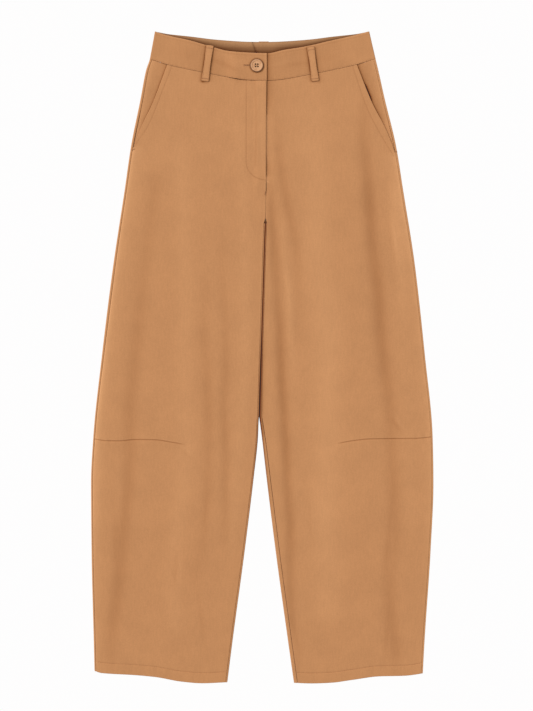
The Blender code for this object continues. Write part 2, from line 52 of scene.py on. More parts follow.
# How many columns of the inner edge lie flat at the centre seam above the legs
FLAT_COLUMNS = 8
CROTCH_Y = 0.2234
LEG_START_Y = 0.2150
SIDE_EDGE = [
    Row(0.5224, -0.1715, 0.1718), Row(0.4778, -0.1797, 0.1820), Row(0.4602, -0.1856, 0.1862),
    Row(0.4122, -0.1948, 0.1970), Row(0.3402, -0.2094, 0.2144), Row(0.2682, -0.2199, 0.2260),
    Row(0.1482, -0.2381, 0.2448), Row(0.0042, -0.2562, 0.2608), Row(-0.1286, -0.2702, 0.2733),
    Row(-0.1998, -0.2737, 0.2745), Row(-0.3078, -0.2729, 0.2700),
    Row(-0.4518, -0.2694, 0.2604), Row(-0.5224, -0.2676, 0.2566),
]
INNER_EDGE = [
    Row(0.2234, 0.0061, 0.0057), Row(0.2010, 0.0050, 0.0046), Row(0.1082, 0.0021, 0.0017),
    Row(0.0458, 0.0002, -0.0002), Row(-0.0214, -0.0023, -0.0027), Row(-0.0820, -0.0041, -0.0045),
    Row(-0.0940, -0.0043, -0.0047), Row(-0.0990, -0.0052, -0.0040), Row(-0.1286, -0.0065, 0.0000),
    Row(-0.1878, -0.0128, 0.0068), Row(-0.3078, -0.0275, 0.0216), Row(-0.4518, -0.0469, 0.0414),
    Row(-0.5224, -0.0558, 0.0514),
]
# How far in from the edges of a leg the seams lie
OUTSEAM_REACH = [
    Row(0.4800, 0.0036, 0.0034), Row(0.4122, 0.0040, 0.0034), Row(0.2500, 0.0033, 0.0034),
    Row(0.0900, 0.0040, 0.0028), Row(-0.0680, 0.0029, 0.0027), Row(-0.2300, 0.0027, 0.0027),
    Row(-0.5224, 0.0027, 0.0027),
]
INSEAM_REACH = [
    Row(0.4800, 0.0026, 0.0026), Row(0.0500, 0.0026, 0.0026), Row(-0.1700, 0.0026, 0.0060),
    Row(-0.2300, 0.0026, 0.0064), Row(-0.5224, 0.0026, 0.0060),
]
Spot = namedtuple("Spot", "x y")
BACK_WAIST = [
    Spot(0.0000, 0.4606), Spot(0.0200, 0.4607), Spot(0.0400, 0.4614), Spot(0.0780, 0.4640),
    Spot(0.1130, 0.4680), Spot(0.1510, 0.4708), Spot(0.1680, 0.4740), Spot(0.1800, 0.4777),
    Spot(0.1850, 0.4792),
]
HEM_LINE = {
    "right": [Spot(-0.2760, -0.4986), Spot(-0.2688, -0.5010), Spot(-0.2565, -0.5048),
              Spot(-0.2016, -0.5082), Spot(-0.1688, -0.5114), Spot(-0.1280, -0.5186),
              Spot(-0.0954, -0.5211), Spot(-0.0560, -0.5195)],
    "left": [Spot(0.0510, -0.5204), Spot(0.0787, -0.5214), Spot(0.1114, -0.5202),
             Spot(0.1440, -0.5158), Spot(0.1890, -0.5100), Spot(0.2258, -0.5092),
             Spot(0.2594, -0.5048), Spot(0.2700, -0.5014)],
}
CENTRE_BACK_X = 0.0027
CENTRE_FOOT_X = 0.0045
LOOP_LIFT = 0.0015
# Soft hollows where the back hangs clear of the surface: each runs down a leg
Hollow = namedtuple("Hollow", "side x_top x_foot y_top y_foot half_width rise")
BACK_HOLLOWS = [
    Hollow("right", -0.110, -0.150, 0.330, -0.150, 0.016, 0.0009),
    Hollow("right", -0.170, -0.205, 0.150, -0.430, 0.013, 0.0008),
    Hollow("right", -0.055, -0.075, 0.060, -0.300, 0.011, 0.0007),
    Hollow("left", 0.120, 0.165, 0.310, -0.210, 0.017, 0.0010),
    Hollow("left", 0.055, 0.070, 0.180, -0.110, 0.012, 0.0007),
    Hollow("left", 0.200, 0.205, 0.040, -0.450, 0.014, 0.0008),
]


class Line:
    """A smooth line through a table's rows, read at any places, that never swings past them."""

    def __init__(self, places, values):
        order = np.argsort(places)
        self.at = np.array(places, float)[order]
        self.value = np.array(values, float)[order]
        rate = np.diff(self.value) / np.diff(self.at)
        before, after = rate[:-1], rate[1:]
        same_way = before * after > 0
        both = np.where(same_way, before + after, 1.0)
        inner = np.where(same_way, 2 * before * after / both, 0.0)
        self.slope = np.concatenate([rate[:1], inner, rate[-1:]])

    def __call__(self, place):
        place = np.asarray(place, float)
        row = np.clip(np.searchsorted(self.at, place) - 1, 0, len(self.at) - 2)
        span = self.at[row + 1] - self.at[row]
        t = np.clip((place - self.at[row]) / span, 0.0, 1.0)
        rest = 1 - t
        ends = self.value[row] * rest ** 2 * (1 + 2 * t) + self.value[row + 1] * t ** 2 * (3 - 2 * t)
        bend = self.slope[row] * t * rest ** 2 - self.slope[row + 1] * t ** 2 * rest
        past_low = np.minimum(place - self.at[0], 0) * self.slope[0]
        past_high = np.maximum(place - self.at[-1], 0) * self.slope[-1]
        return ends + bend * span + past_low + past_high


def by_side(rows):
    """A line for each side from rows of y, right and left."""
    return {side: Line([row.y for row in rows], [getattr(row, side) for row in rows])
            for side in SIDES}


def through(spots):
    """A line of y against x."""
    return Line(*zip(*spots))


def up_through(spots):
    """A line of x against y."""
    return Line([spot.y for spot in spots], [spot.x for spot in spots])


def ease(value):
    """Rise smoothly from 0 to 1."""
    value = np.clip(value, 0.0, 1.0)
    return value * value * (3 - 2 * value)


def mix(start, end, share):
    return start + (end - start) * share


def bell(off, width):
    """1 in the middle, fading smoothly to both sides."""
    return np.exp(-(off / width) ** 2)


def fall(away, reach):
    """1 at an edge, fading with the distance from it."""
    return np.exp(-away / reach)


def lift_share(x, y):
    """How much of its full lift a layer has over the centre back belt loop."""
    return ease((0.045 - abs(x - CENTRE_BACK_X)) / 0.027) * ease((y - 0.400) / 0.035)


def roll(distance, radius, drop):
    """How far a turned edge of cloth drops towards its rim."""
    inward = 1 - np.clip(distance / radius, 0.0, 1.0)
    return drop * (1 - np.sqrt(1 - inward ** 2))


def add_mesh(name, points, faces):
    """A smooth mesh as a new object in the scene."""
    mesh = bpy.data.meshes.new(name)
    mesh.from_pydata(points, [], faces)
    mesh.shade_smooth()
    piece = bpy.data.objects.new(name, mesh)
    bpy.context.scene.collection.objects.link(piece)
    return piece


def cloth(name, points, hidden=None, wall=SHELL, tone=None, inner_tone=None):
    """A sheet of cloth through a grid of outer points, with its thickness laid inward.

    The tones are how much paler, or where negative deeper, the colour is at each point, mostly
    painted light and painted shade; the inner face takes the second material, a darker copy that
    paints shade.
    """
    rows, columns = points.shape[:2]
    number = np.arange(rows * columns).reshape(rows, columns)
    corners = [number[:-1, :-1], number[1:, :-1], number[1:, 1:], number[:-1, 1:]]
    faces = np.stack(corners, axis=-1).reshape(-1, 4)
    if hidden is not None:
        faces = faces[~hidden[:-1, :-1].reshape(-1)]
    used, faces = np.unique(faces, return_inverse=True)
    piece = add_mesh(name, points.reshape(-1, 3)[used].tolist(), faces.reshape(-1, 4).tolist())
    for face, shares in (("tone", tone), ("inner_tone", inner_tone)):
        if shares is not None:
            painted_light = piece.data.attributes.new(face, "FLOAT", "POINT")
            painted_light.data.foreach_set("value", shares.reshape(-1)[used].astype(np.float32))
    thick = piece.modifiers.new("Cloth", "SOLIDIFY")
    thick.thickness = wall
    thick.offset = -1
    thick.material_offset = 1
    return piece


def at_height(y):
    """A level line."""
    return lambda x: x * 0 + y


def meet(edge, height, rounds=8):
    """Where a row crosses an edge of the cloth."""
    y = height(0.0)
    for _ in range(rounds):
        y = height(edge(y))
    return float(edge(y)), float(y)


def spaced_rows(anchors, step, x=0.12):
    """Row lines between anchor lines, closer together beside each anchor."""
    lines = []
    for (upper, near_upper), (lower, near_lower) in zip(anchors, anchors[1:]):
        span = float(upper(x) - lower(x))
        lines += [lambda x, a=upper, off=off: a(x) - off for off in (0.0, *near_upper)]
        free = span - max(near_upper, default=0.0) - max(near_lower, default=0.0)
        count = max(int(free / step), 1)
        start = max(near_upper, default=0.0) / span
        stop = 1 - max(near_lower, default=0.0) / span
        shares = np.linspace(start, stop, count + 1)[1:-1]
        lines += [lambda x, a=upper, b=lower, s=s: mix(a(x), b(x), s) for s in shares]
        lines += [lambda x, b=lower, off=off: b(x) + off for off in sorted(near_lower)[::-1]]
    return lines + [anchors[-1][0]]


outer_edge = by_side(SIDE_EDGE)
inner_edge = by_side(INNER_EDGE)
reach_out = by_side(OUTSEAM_REACH)
reach_in = by_side(INSEAM_REACH)
back_waist = through(BACK_WAIST)
hem_line = {side: through(HEM_LINE[side]) for side in SIDES}
FINE_EDGE = (0.0003, 0.0007, 0.0012, 0.0019, 0.0029)
NEAR_RIM = np.array([0.0, *FINE_EDGE])
OUTSEAM_SUNK = {"right": 0.0005, "left": 0.0002}


def turned_edge(edge, outward, reach, sunk=0.0007):
    """The path (x, z) from the underside up round an edge to its seam on top."""
    angle = np.pi * (np.linspace(0, 1, TURN_STEPS + 1) - 0.5)
    x = edge - outward * TURN_RADIUS * (1 - np.cos(angle))
    z = TURN_RADIUS * (1 + np.sin(angle))
    over = np.linspace(TURN_RADIUS, reach, 7)[1:]
    drop = roll(reach - over, 0.0011, sunk)
    return (np.concatenate([x, edge - outward * over]),
            np.concatenate([z, EDGE_HEIGHT - drop]))


def back_panel(side):
    sign = SIDES[side]
    hem = hem_line[side]
    anchors = [(lambda x: back_waist(abs(x)) - SEAM / 2, FINE_EDGE),
               (at_height(CROTCH_Y), (0.002, 0.004, 0.006, CROTCH_Y - LEG_START_Y)),
               (hem, FINE_EDGE)]
    grid, hidden = [], []
    for line in spaced_rows(anchors, 0.006, sign * 0.12):
        edge, y = meet(outer_edge[side], line)
        outer_x, outer_z = turned_edge(edge, sign, reach_out[side](y) - SEAM / 2,
                                       sunk=OUTSEAM_SUNK[side])
        edge, y = meet(inner_edge[side], line)
        inner_x, inner_z = turned_edge(edge, -sign, reach_in[side](y) - SEAM / 2)
        above = y > LEG_START_Y + SEAM
        centre = mix(CENTRE_BACK_X, CENTRE_FOOT_X, ease((0.40 - y) / 0.15)) + sign * SEAM / 2
        flat = ease((y - LEG_START_Y) / (CROTCH_Y - LEG_START_Y))
        lie = centre + sign * 0.0012 * np.arange(FLAT_COLUMNS)[::-1]
        inner_x[:FLAT_COLUMNS] = mix(inner_x[:FLAT_COLUMNS], lie, flat)
        inner_z[:FLAT_COLUMNS] = mix(inner_z[:FLAT_COLUMNS], 0.0, flat)
        middle_x = np.linspace(inner_x[0], outer_x[0], 48)[1:-1]
        path_x = np.concatenate([inner_x[::-1], middle_x, outer_x])
        path_z = np.concatenate([inner_z[::-1], middle_x * 0, outer_z])
        gone = np.zeros(len(path_x), bool)
        gone[:len(inner_x) - FLAT_COLUMNS] = above
        if side == "left":
            path_x, path_z = path_x[::-1], path_z[::-1]
            gone = np.roll(gone[::-1], -1)
        grid.append(np.stack([path_x, line(path_x), path_z], axis=-1))
        hidden.append(gone)
    grid = np.array(grid)
    x, y, under = grid[..., 0], grid[..., 1], grid[..., 2] < 0.0001
    clear = ease(np.minimum(abs(x - outer_edge[side](y)), abs(x - inner_edge[side](y))) / 0.02 - 0.4)
    for hollow in BACK_HOLLOWS:
        if hollow.side == side:
            down = np.clip((hollow.y_top - y) / (hollow.y_top - hollow.y_foot), 0, 1)
            off = x - mix(hollow.x_top, hollow.x_foot, down)
            fade = ease((hollow.y_top + 0.06 - y) / 0.06) * ease((y - hollow.y_foot + 0.06) / 0.06)
            grid[..., 2] += under * clear * fade * hollow.rise * bell(off, hollow.half_width)
    top = ease((grid[..., 2] - 0.0006) / 0.0016)
    grid[..., 2] += LOOP_LIFT * lift_share(x, y)
    # The tone paints light and shade: near black shade in the crevice where the legs touch and along
    # where they part, painted highlights on the outer rims and beside the crevice, and darker lines
    # along the seams.
    from_inner = abs(x - inner_edge[side](y))
    from_outer = abs(x - outer_edge[side](y))
    legs_touch = ease((y + 0.104) / 0.010) * ease((CROTCH_Y + 0.002 - y) / 0.004)
    upper = ease((y + 0.190) / 0.060)
    if side == "right":
        inside = 0.10 * ease((y - 0.02) / 0.10) - 1.2 * bell(from_inner, 0.0014)
        parted = -0.85 * bell(from_inner, 0.0019)
        stitched = bell(from_outer - reach_out[side](y), 0.0006)
        rim = 0.30 * bell(from_outer, 0.0010) - 0.22 * upper * stitched
    else:
        reach = mix(0.0016, 0.0026, ease((0.060 - y) / 0.120))
        inside = -1.2 * bell(from_inner, reach) - 0.20 * ease((0.060 - y) / 0.080)
        stitched = bell(from_inner - reach_in[side](y), 0.0007)
        parted = -0.80 * bell(from_inner, 0.0021) - 0.45 * stitched
        parted = parted - 0.30 * ease((y + 0.140) / 0.030)
        rim = 0.06 + 0.55 * bell(from_outer, 0.0012)
    parted = parted * ease((y + 0.300) / 0.180)
    inside = mix(parted, inside, legs_touch)
    tone = top * np.where(from_inner < 0.010, inside * (y < CROTCH_Y), rim)
    return cloth("back_" + side, grid, np.array(hidden), tone=tone)


class Socket:
    """A shader value or colour that can be added, multiplied and mixed."""

    def __init__(self, tree, output):
        self.tree = tree
        self.output = output

    def node(self, kind, settings=None, **sockets):
        """Add a node of a type, set it up, then give its sockets values or links."""
        made = self.tree.nodes.new(kind)
        for name, value in (settings or {}).items():
            setattr(made, name, value)
        for name, value in sockets.items():
            place = int(name[1:]) if name[0] == "_" and name[1:].isdigit() else name.replace("_", " ")
            if isinstance(value, Socket):
                self.tree.links.new(value.output, made.inputs[place])
            else:
                made.inputs[place].default_value = value
        return made

    def take(self, made, output=0):
        return Socket(self.tree, made.outputs[output])

    def maths(self, operation, first, second=0.0):
        return self.take(self.node("ShaderNodeMath", {"operation": operation}, _0=first, _1=second))

    def __add__(self, other):
        return self.maths("ADD", self, other)

    __radd__ = __add__

    def __mul__(self, other):
        return self.maths("MULTIPLY", self, other)

    __rmul__ = __mul__

    def __sub__(self, other):
        return self.maths("SUBTRACT", self, other)

    def __rsub__(self, other):
        return self.maths("SUBTRACT", other, self)

    def between(self, low, high):
        """0 below low, 1 above high, smooth between."""
        made = self.node("ShaderNodeMapRange", {"interpolation_type": "SMOOTHSTEP"}, Value=self,
                         From_Min=low, From_Max=high)
        return self.take(made)

    def blend(self, first, second):
        """The colour between two colours at this share."""
        made = self.node("ShaderNodeMix", {"data_type": "RGBA"}, _0=self, _6=first, _7=second)
        return self.take(made, 2)


def new_material(name):
    """An empty Principled material, its shader, and a socket to build from."""
    material = bpy.data.materials.new(name)
    material.use_nodes = True
    tree = material.node_tree
    shader = tree.nodes["Principled BSDF"]
    place = Socket(tree, tree.nodes.new("ShaderNodeTexCoord").outputs["Object"])
    return material, shader, place


GRAIN = 0.085
# How strongly the painted light and shade of the tones act on red, green and blue, and how dark the
# cloth can get
PAINTED_LIGHT_TINT = (0.78, 1.0, 1.26)
DEEPEST = (0.05, 0.05, 0.06)


def twill(name, colour, face):
    """Brushed cotton twill: fine diagonal ribs, slubs along the warp and a soft mottle.

    The face names the attribute that says where the colour is painted paler with light or deeper with
    shade.
    """
    material, shader, place = new_material(name)
    tree = place.tree

    def noise(scale, detail=3.0, stretch=(1.0, 1.0, 1.0)):
        moved = place.node("ShaderNodeMapping", None, Vector=place, Scale=stretch)
        made = place.node("ShaderNodeTexNoise", None, Vector=place.take(moved), Scale=scale,
                          Detail=detail)
        return place.take(made)

    def vector(operation, first, second=(0.0, 0.0, 0.0), **sockets):
        return place.take(place.node("ShaderNodeVectorMath", {"operation": operation}, _0=first,
                                     _1=second, **sockets))

    mottle = noise(26.0, 4.0)
    slub = noise(420.0, 2.0, (1.0, 0.16, 1.0))
    fibre = noise(520.0, 3.0)
    shade = mottle.between(0.30, 0.70) * 0.30 + slub.between(0.25, 0.75) * 0.30
    shade = shade + fibre.between(0.30, 0.70) * 0.40
    low = tuple(channel * (1 - GRAIN) for channel in colour) + (1.0,)
    high = tuple(channel * (1 + GRAIN) for channel in colour) + (1.0,)
    painted_light = place.take(place.node("ShaderNodeAttribute", {"attribute_name": face}), 2)
    shift = vector("ADD", vector("SCALE", PAINTED_LIGHT_TINT, Scale=painted_light), (1.0, 1.0, 1.0))
    shift = vector("MAXIMUM", shift, DEEPEST)
    tone = vector("MULTIPLY", shade.blend(low, high), shift)
    ribs = place.node("ShaderNodeTexWave", {"wave_type": "BANDS", "bands_direction": "DIAGONAL"},
                      Vector=place, Scale=620.0, Distortion=0.8, Detail=1.0)
    relief = place.take(ribs, 1) * 0.5 + slub * 0.3 + fibre * 0.5
    bump = place.node("ShaderNodeBump", None, Height=relief, Strength=0.22, Distance=0.0002)
    tree.links.new(tone.output, shader.inputs["Base Color"])
    rough = shade * -0.08 + 0.92
    tree.links.new(rough.output, shader.inputs["Roughness"])
    tree.links.new(bump.outputs[0], shader.inputs["Normal"])
    shader.inputs["Specular IOR Level"].default_value = 0.25
    shader.inputs["Sheen Weight"].default_value = 0.12
    shader.inputs["Sheen Roughness"].default_value = 0.6
    shader.inputs["Sheen Tint"].default_value = (1.0, 0.86, 0.70, 1.0)
    return material


def dress(piece, finishes, node):
    """Finish a piece, and have it ride on the part and stand for its solid."""
    for material in finishes:
        piece.data.materials.append(material)
    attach(piece, "root")
    if node:
        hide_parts(node)


TAN = (0.530, 0.244, 0.0985)
# The inner faces take a darker copy of the twill: painted shade.
SHADED_INSIDE = (0.300, 0.138, 0.055)
both_faces = [twill("tan_twill", TAN, "tone"), twill("tan_inside_shaded", SHADED_INSIDE, "inner_tone")]
for side in SIDES:
    back = back_panel(side)
    dress(back, both_faces, "back_panel_" + side)


# Front panels. Cut from the same twill, each with a slant pocket mouth, a dart sewn across the
# knee from the outseam, which gives the leg its barrel curve, and a hem turned up inside.

# How far the pocket mouths stand open, and where they do most
GAPE = {"right": 0.0003, "left": 0.0010}
GAPE_Y = 0.4230
POCKET_FOOT_Y = {"right": 0.3365, "left": 0.3270}
FLY_FOOT_Y = 0.2835
FLY_UNDERLAP = 0.0080
FLY_CURVE_TOP_Y = 0.2990
HEM_DEPTH = 0.0168
FRONT_WAIST = [
    Spot(0.0000, 0.4430), Spot(0.0200, 0.4438), Spot(0.0400, 0.4462), Spot(0.0780, 0.4533),
    Spot(0.1130, 0.4602), Spot(0.1510, 0.4688), Spot(0.1680, 0.4740), Spot(0.1800, 0.4777),
    Spot(0.1850, 0.4792),
]
FLY_EDGE = [Spot(0.0057, 0.2234), Spot(0.0064, 0.2800), Spot(0.0066, 0.3402),
            Spot(0.0070, 0.4122), Spot(0.0074, 0.4430), Spot(0.0080, 0.4900)]
POCKET_MOUTH = [
    Row(0.3290, -0.2072, 0.2125), Row(0.3402, -0.2042, 0.2088), Row(0.3677, -0.1942, 0.1972),
    Row(0.4064, -0.1754, 0.1769), Row(0.4240, -0.1684, 0.1693), Row(0.4688, -0.1517, 0.1518),
    Row(0.4800, -0.1475, 0.1470),
]
KNEE_DART = {
    "right": [Spot(-0.2750, -0.1290), Spot(-0.2504, -0.1328), Spot(-0.2299, -0.1333),
              Spot(-0.1993, -0.1310), Spot(-0.1688, -0.1317), Spot(-0.1443, -0.1354),
              Spot(-0.1238, -0.1389)],
    "left": [Spot(0.1206, -0.1374), Spot(0.1482, -0.1326), Spot(0.1747, -0.1301),
             Spot(0.2053, -0.1296), Spot(0.2461, -0.1293), Spot(0.2750, -0.1266)],
}
DART_TIP = {"right": 0.1238, "left": 0.1206}
DART_LEVEL_Y = -0.1380
# Creases, each down a line of (y, x, tone) places. Troughs have a negative tone, painted shade, and
# lie lower; a positive tone paints light on a ridge.
CREASE_RISE = 0.0140
CREASE_TONE = 2.45
Crease = namedtuple("Crease", "side half_width places")
CREASES = [
    Crease("right", 0.0115, (
        (0.276, -0.171, -0.030), (0.172, -0.184, -0.030), (0.108, -0.192, -0.035),
        (0.044, -0.198, -0.045), (-0.020, -0.205, -0.045), (-0.084, -0.211, -0.055),
        (-0.156, -0.211, -0.055), (-0.212, -0.214, -0.060), (-0.276, -0.222, -0.060),
        (-0.340, -0.226, -0.060), (-0.404, -0.235, -0.060), (-0.468, -0.243, -0.030))),
    Crease("right", 0.0090, (
        (0.108, -0.090, -0.015), (0.044, -0.093, -0.030), (-0.020, -0.088, -0.040),
        (-0.084, -0.086, -0.050), (-0.156, -0.086, -0.035), (-0.212, -0.086, -0.035),
        (-0.276, -0.094, -0.020), (-0.348, -0.106, -0.015))),
    Crease("right", 0.0075, (
        (0.172, -0.064, -0.015), (0.108, -0.062, -0.025), (0.044, -0.058, -0.030),
        (-0.020, -0.058, -0.045), (-0.084, -0.061, -0.045), (-0.116, -0.059, -0.055),
        (-0.156, -0.058, -0.045), (-0.212, -0.058, -0.040), (-0.276, -0.058, -0.020))),
    Crease("right", 0.0160, (
        (0.332, -0.131, 0.020), (0.252, -0.125, 0.030), (0.108, -0.122, 0.030),
        (-0.084, -0.122, 0.030), (-0.156, -0.122, 0.035), (-0.212, -0.125, 0.030),
        (-0.276, -0.134, 0.030), (-0.340, -0.144, 0.020), (-0.420, -0.136, 0.028))),
    Crease("right", 0.0120, (
        (0.364, -0.038, 0.015), (0.236, -0.027, 0.020), (0.044, -0.026, 0.030),
        (-0.084, -0.029, 0.030), (-0.212, -0.043, 0.020), (-0.292, -0.046, 0.020))),
    Crease("right", 0.0060, (
        (-0.004, -0.253, 0.020), (-0.100, -0.261, 0.020), (-0.260, -0.262, 0.010))),
    Crease("left", 0.0110, (
        (0.396, 0.165, -0.035), (0.364, 0.163, -0.050), (0.300, 0.168, -0.070),
        (0.236, 0.173, -0.100), (0.172, 0.178, -0.085), (0.108, 0.186, -0.100),
        (0.044, 0.190, -0.090), (-0.020, 0.197, -0.075), (-0.084, 0.205, -0.055),
        (-0.156, 0.208, -0.050), (-0.212, 0.211, -0.060), (-0.276, 0.211, -0.050),
        (-0.340, 0.205, -0.045), (-0.404, 0.206, -0.055), (-0.468, 0.214, -0.050))),
    Crease("left", 0.0085, (
        (0.364, 0.024, -0.020), (0.308, 0.030, -0.050), (0.236, 0.043, -0.055),
        (0.172, 0.056, -0.040), (0.108, 0.059, -0.025), (0.044, 0.061, -0.010))),
    Crease("left", 0.0086, (
        (0.260, 0.014, -0.040), (0.222, 0.016, -0.070), (0.172, 0.020, -0.070),
        (0.108, 0.024, -0.060), (0.044, 0.029, -0.090), (-0.020, 0.031, -0.105),
        (-0.084, 0.035, -0.095), (-0.156, 0.039, -0.095), (-0.212, 0.041, -0.075),
        (-0.276, 0.046, -0.080), (-0.340, 0.046, -0.050), (-0.404, 0.046, -0.060),
        (-0.468, 0.058, -0.030))),
    Crease("left", 0.0060, (
        (0.196, 0.034, 0.020), (0.148, 0.038, 0.030), (0.108, 0.043, 0.045),
        (0.044, 0.046, 0.035), (-0.020, 0.053, 0.010))),
    Crease("left", 0.0260, (
        (0.396, 0.077, 0.020), (0.300, 0.086, 0.030), (0.172, 0.090, 0.045),
        (0.044, 0.106, 0.050), (-0.116, 0.106, 0.045), (-0.276, 0.101, 0.050),
        (-0.340, 0.106, 0.040), (-0.404, 0.108, 0.030))),
    Crease("left", 0.0110, (
        (0.252, 0.214, 0.040), (0.172, 0.222, 0.040), (0.044, 0.227, 0.015),
        (-0.116, 0.237, 0.010), (-0.260, 0.240, 0.010))),
]
# Short wrinkles: centre, lean, half length, half width, and tone, painted shade where negative and
# painted light where positive
Wrinkle = namedtuple("Wrinkle", "x y lean half_length half_width tone")
WRINKLES = [
    Wrinkle(-0.1190, -0.1490, -0.80, 0.0090, 0.0026, 0.06),
    Wrinkle(-0.1225, -0.1530, -0.80, 0.0090, 0.0030, -0.06),
    Wrinkle(-0.1385, -0.3400, 1.50, 0.0260, 0.0034, -0.07),
    Wrinkle(-0.1320, -0.3440, 1.50, 0.0260, 0.0038, 0.05),
    Wrinkle(-0.2350, -0.3000, 1.62, 0.0500, 0.0032, -0.07),
    Wrinkle(-0.2290, -0.2200, 1.60, 0.0400, 0.0030, 0.06),
    Wrinkle(-0.0980, -0.4100, 1.70, 0.0380, 0.0040, -0.06),
    Wrinkle(-0.0900, -0.2500, 1.55, 0.0500, 0.0034, -0.06),
    Wrinkle(0.2150, -0.1080, -0.95, 0.0150, 0.0032, -0.11),
    Wrinkle(0.2195, -0.1040, -0.95, 0.0140, 0.0032, 0.07),
    Wrinkle(0.2010, -0.3000, 1.48, 0.0380, 0.0036, -0.07),
    Wrinkle(0.2075, -0.3000, 1.48, 0.0380, 0.0040, 0.05),
    Wrinkle(0.2130, 0.1880, 1.72, 0.0340, 0.0036, 0.11),
    Wrinkle(0.2080, 0.1860, 1.72, 0.0300, 0.0030, -0.06),
    Wrinkle(0.0760, -0.2600, 1.66, 0.0480, 0.0034, -0.05),
    Wrinkle(0.1980, -0.4500, 1.50, 0.0300, 0.0034, -0.08),
]
FLY_WIDTH = 0.0318
FLY_CURVE_Y = 0.3130
J_X = -0.0251
# The front belt loops, whose sewn ends press on the band and the fronts
Loop = namedtuple("Loop", "name top_x top_y foot_x foot_y width")
FRONT_LOOPS = [
    Loop("belt_loop_front_right", -0.0833, 0.4997, -0.0912, 0.4421, 0.0122),
    Loop("belt_loop_front_left", 0.0778, 0.4970, 0.0854, 0.4421, 0.0122),
]
front_waist = through(FRONT_WAIST)
MOUTH_STITCH = {
    "right": [Spot(-0.1438, 0.4669), Spot(-0.1600, 0.4250), Spot(-0.1749, 0.3870),
              Spot(-0.1850, 0.3660), Spot(-0.1962, 0.3502), Spot(-0.2048, 0.3362)],
    "left": [Spot(0.1451, 0.4669), Spot(0.1530, 0.4420), Spot(0.1616, 0.4162),
             Spot(0.1722, 0.3900), Spot(0.1829, 0.3696), Spot(0.1975, 0.3440),
             Spot(0.2110, 0.3222)],
}
# How dark the left front is in the shade of the fly's edge
Shade = namedtuple("Shade", "y depth")
FLY_SHADE = [Shade(0.2835, 0.05), Shade(0.2900, 0.25), Shade(0.3050, 0.30), Shade(0.3200, 0.06),
             Shade(0.3800, 0.04), Shade(0.3950, 0.25), Shade(0.4100, 0.42), Shade(0.4450, 0.48)]
fly_edge = up_through(FLY_EDGE)
fly_shade = Line(*zip(*FLY_SHADE))
mouth_stitch = {side: up_through(MOUTH_STITCH[side]) for side in SIDES}
pocket_mouth = by_side(POCKET_MOUTH)
dart_line = {side: through(KNEE_DART[side]) for side in SIDES}
crease_columns = [np.array(crease.places).T for crease in CREASES]
crease_line = [Line(y, x) for y, x, tone in crease_columns]
crease_tone = [Line(y, tone) for y, x, tone in crease_columns]


def front_edges(side, y):
    """Inner and outer edge of a front panel at a height."""
    sign = SIDES[side]
    body = fly_edge(y) + sign * SEAM / 2
    if side == "left":
        body = body - FLY_UNDERLAP * ease((y - FLY_FOOT_Y + 0.0016) / 0.0026)
    leg = inner_edge[side](y) + sign * (reach_in[side](y) + SEAM / 2)
    inner = mix(leg, body, ease((y - LEG_START_Y) / (CROTCH_Y - LEG_START_Y)))
    sewn = outer_edge[side](y) - sign * (reach_out[side](y) + SEAM / 2)
    outer = np.where(y > POCKET_FOOT_Y[side], pocket_mouth[side](y), sewn)
    return inner, outer


def dart_y(side, x):
    """The line of a knee dart, carried on level past its tip."""
    past_tip = ease((DART_TIP[side] - abs(x)) / 0.050)
    return mix(dart_line[side](x), DART_LEVEL_Y, past_tip)


def fly_height(side, x, y):
    """Rise of the right front over the fly facing, and dip of the left front under it."""
    from_edge = fly_edge(y) - x
    share = lift_share(x, y)
    if side == "right":
        rise = (0.0002 + LOOP_LIFT * share) * ease((0.045 - from_edge) / 0.013)
        rise = rise + 0.0014 * ease((0.022 - from_edge) / 0.010)
    else:
        rise = 0.0002 * share - 0.0013 * (1 - share) * ease((from_edge + 0.014) / 0.014)
    return rise * ease((y - 0.250) / 0.030)


def crease_share(side, x, y):
    """Sum of the creases of a side, as a tone."""
    total = x * 0
    for crease, line, tone in zip(CREASES, crease_line, crease_tone):
        if crease.side == side:
            foot, top = line.at[0], line.at[-1]
            fade = ease((top + 0.040 - y) / 0.040) * ease((y - foot + 0.040) / 0.040)
            held = np.clip(y, foot, top)
            total = total + tone(held) * fade * bell(x - line(held), crease.half_width)
    return total


def wrinkle_share(wrinkles, x, y):
    """Sum of the short wrinkles at a place, as a tone."""
    total = x * 0
    for centre_x, centre_y, lean, long, wide, depth in wrinkles:
        along = (x - centre_x) * math.cos(lean) + (y - centre_y) * math.sin(lean)
        across = (y - centre_y) * math.cos(lean) - (x - centre_x) * math.sin(lean)
        total = total + depth * bell(along, long) * bell(across, wide)
    return total


def up_loop(loop, y):
    """How far up a belt loop a place is, as a share of its length."""
    return (y - loop.foot_y) / (loop.top_y - loop.foot_y)


def loop_length(loop):
    return math.hypot(loop.top_x - loop.foot_x, loop.top_y - loop.foot_y)


def loop_shade(x, y):
    """Painted shade beside the belt loops, which stand off the cloth."""
    shade = x * 0
    for loop in FRONT_LOOPS:
        share = up_loop(loop, y)
        off = x - mix(loop.foot_x, loop.top_x, share)
        away = np.maximum(abs(off) - loop.width * 0.47, 0)
        beside = ease((share + 0.04) / 0.05) * ease((1.02 - share) / 0.05)
        wide = np.where(off > 0, 0.16, 0.07) * fall(away, 0.0050)
        close = np.where(off > 0, 0.40, 0.75) * fall(away, 0.0015)
        shade = shade - beside * (close + wide)
    return shade


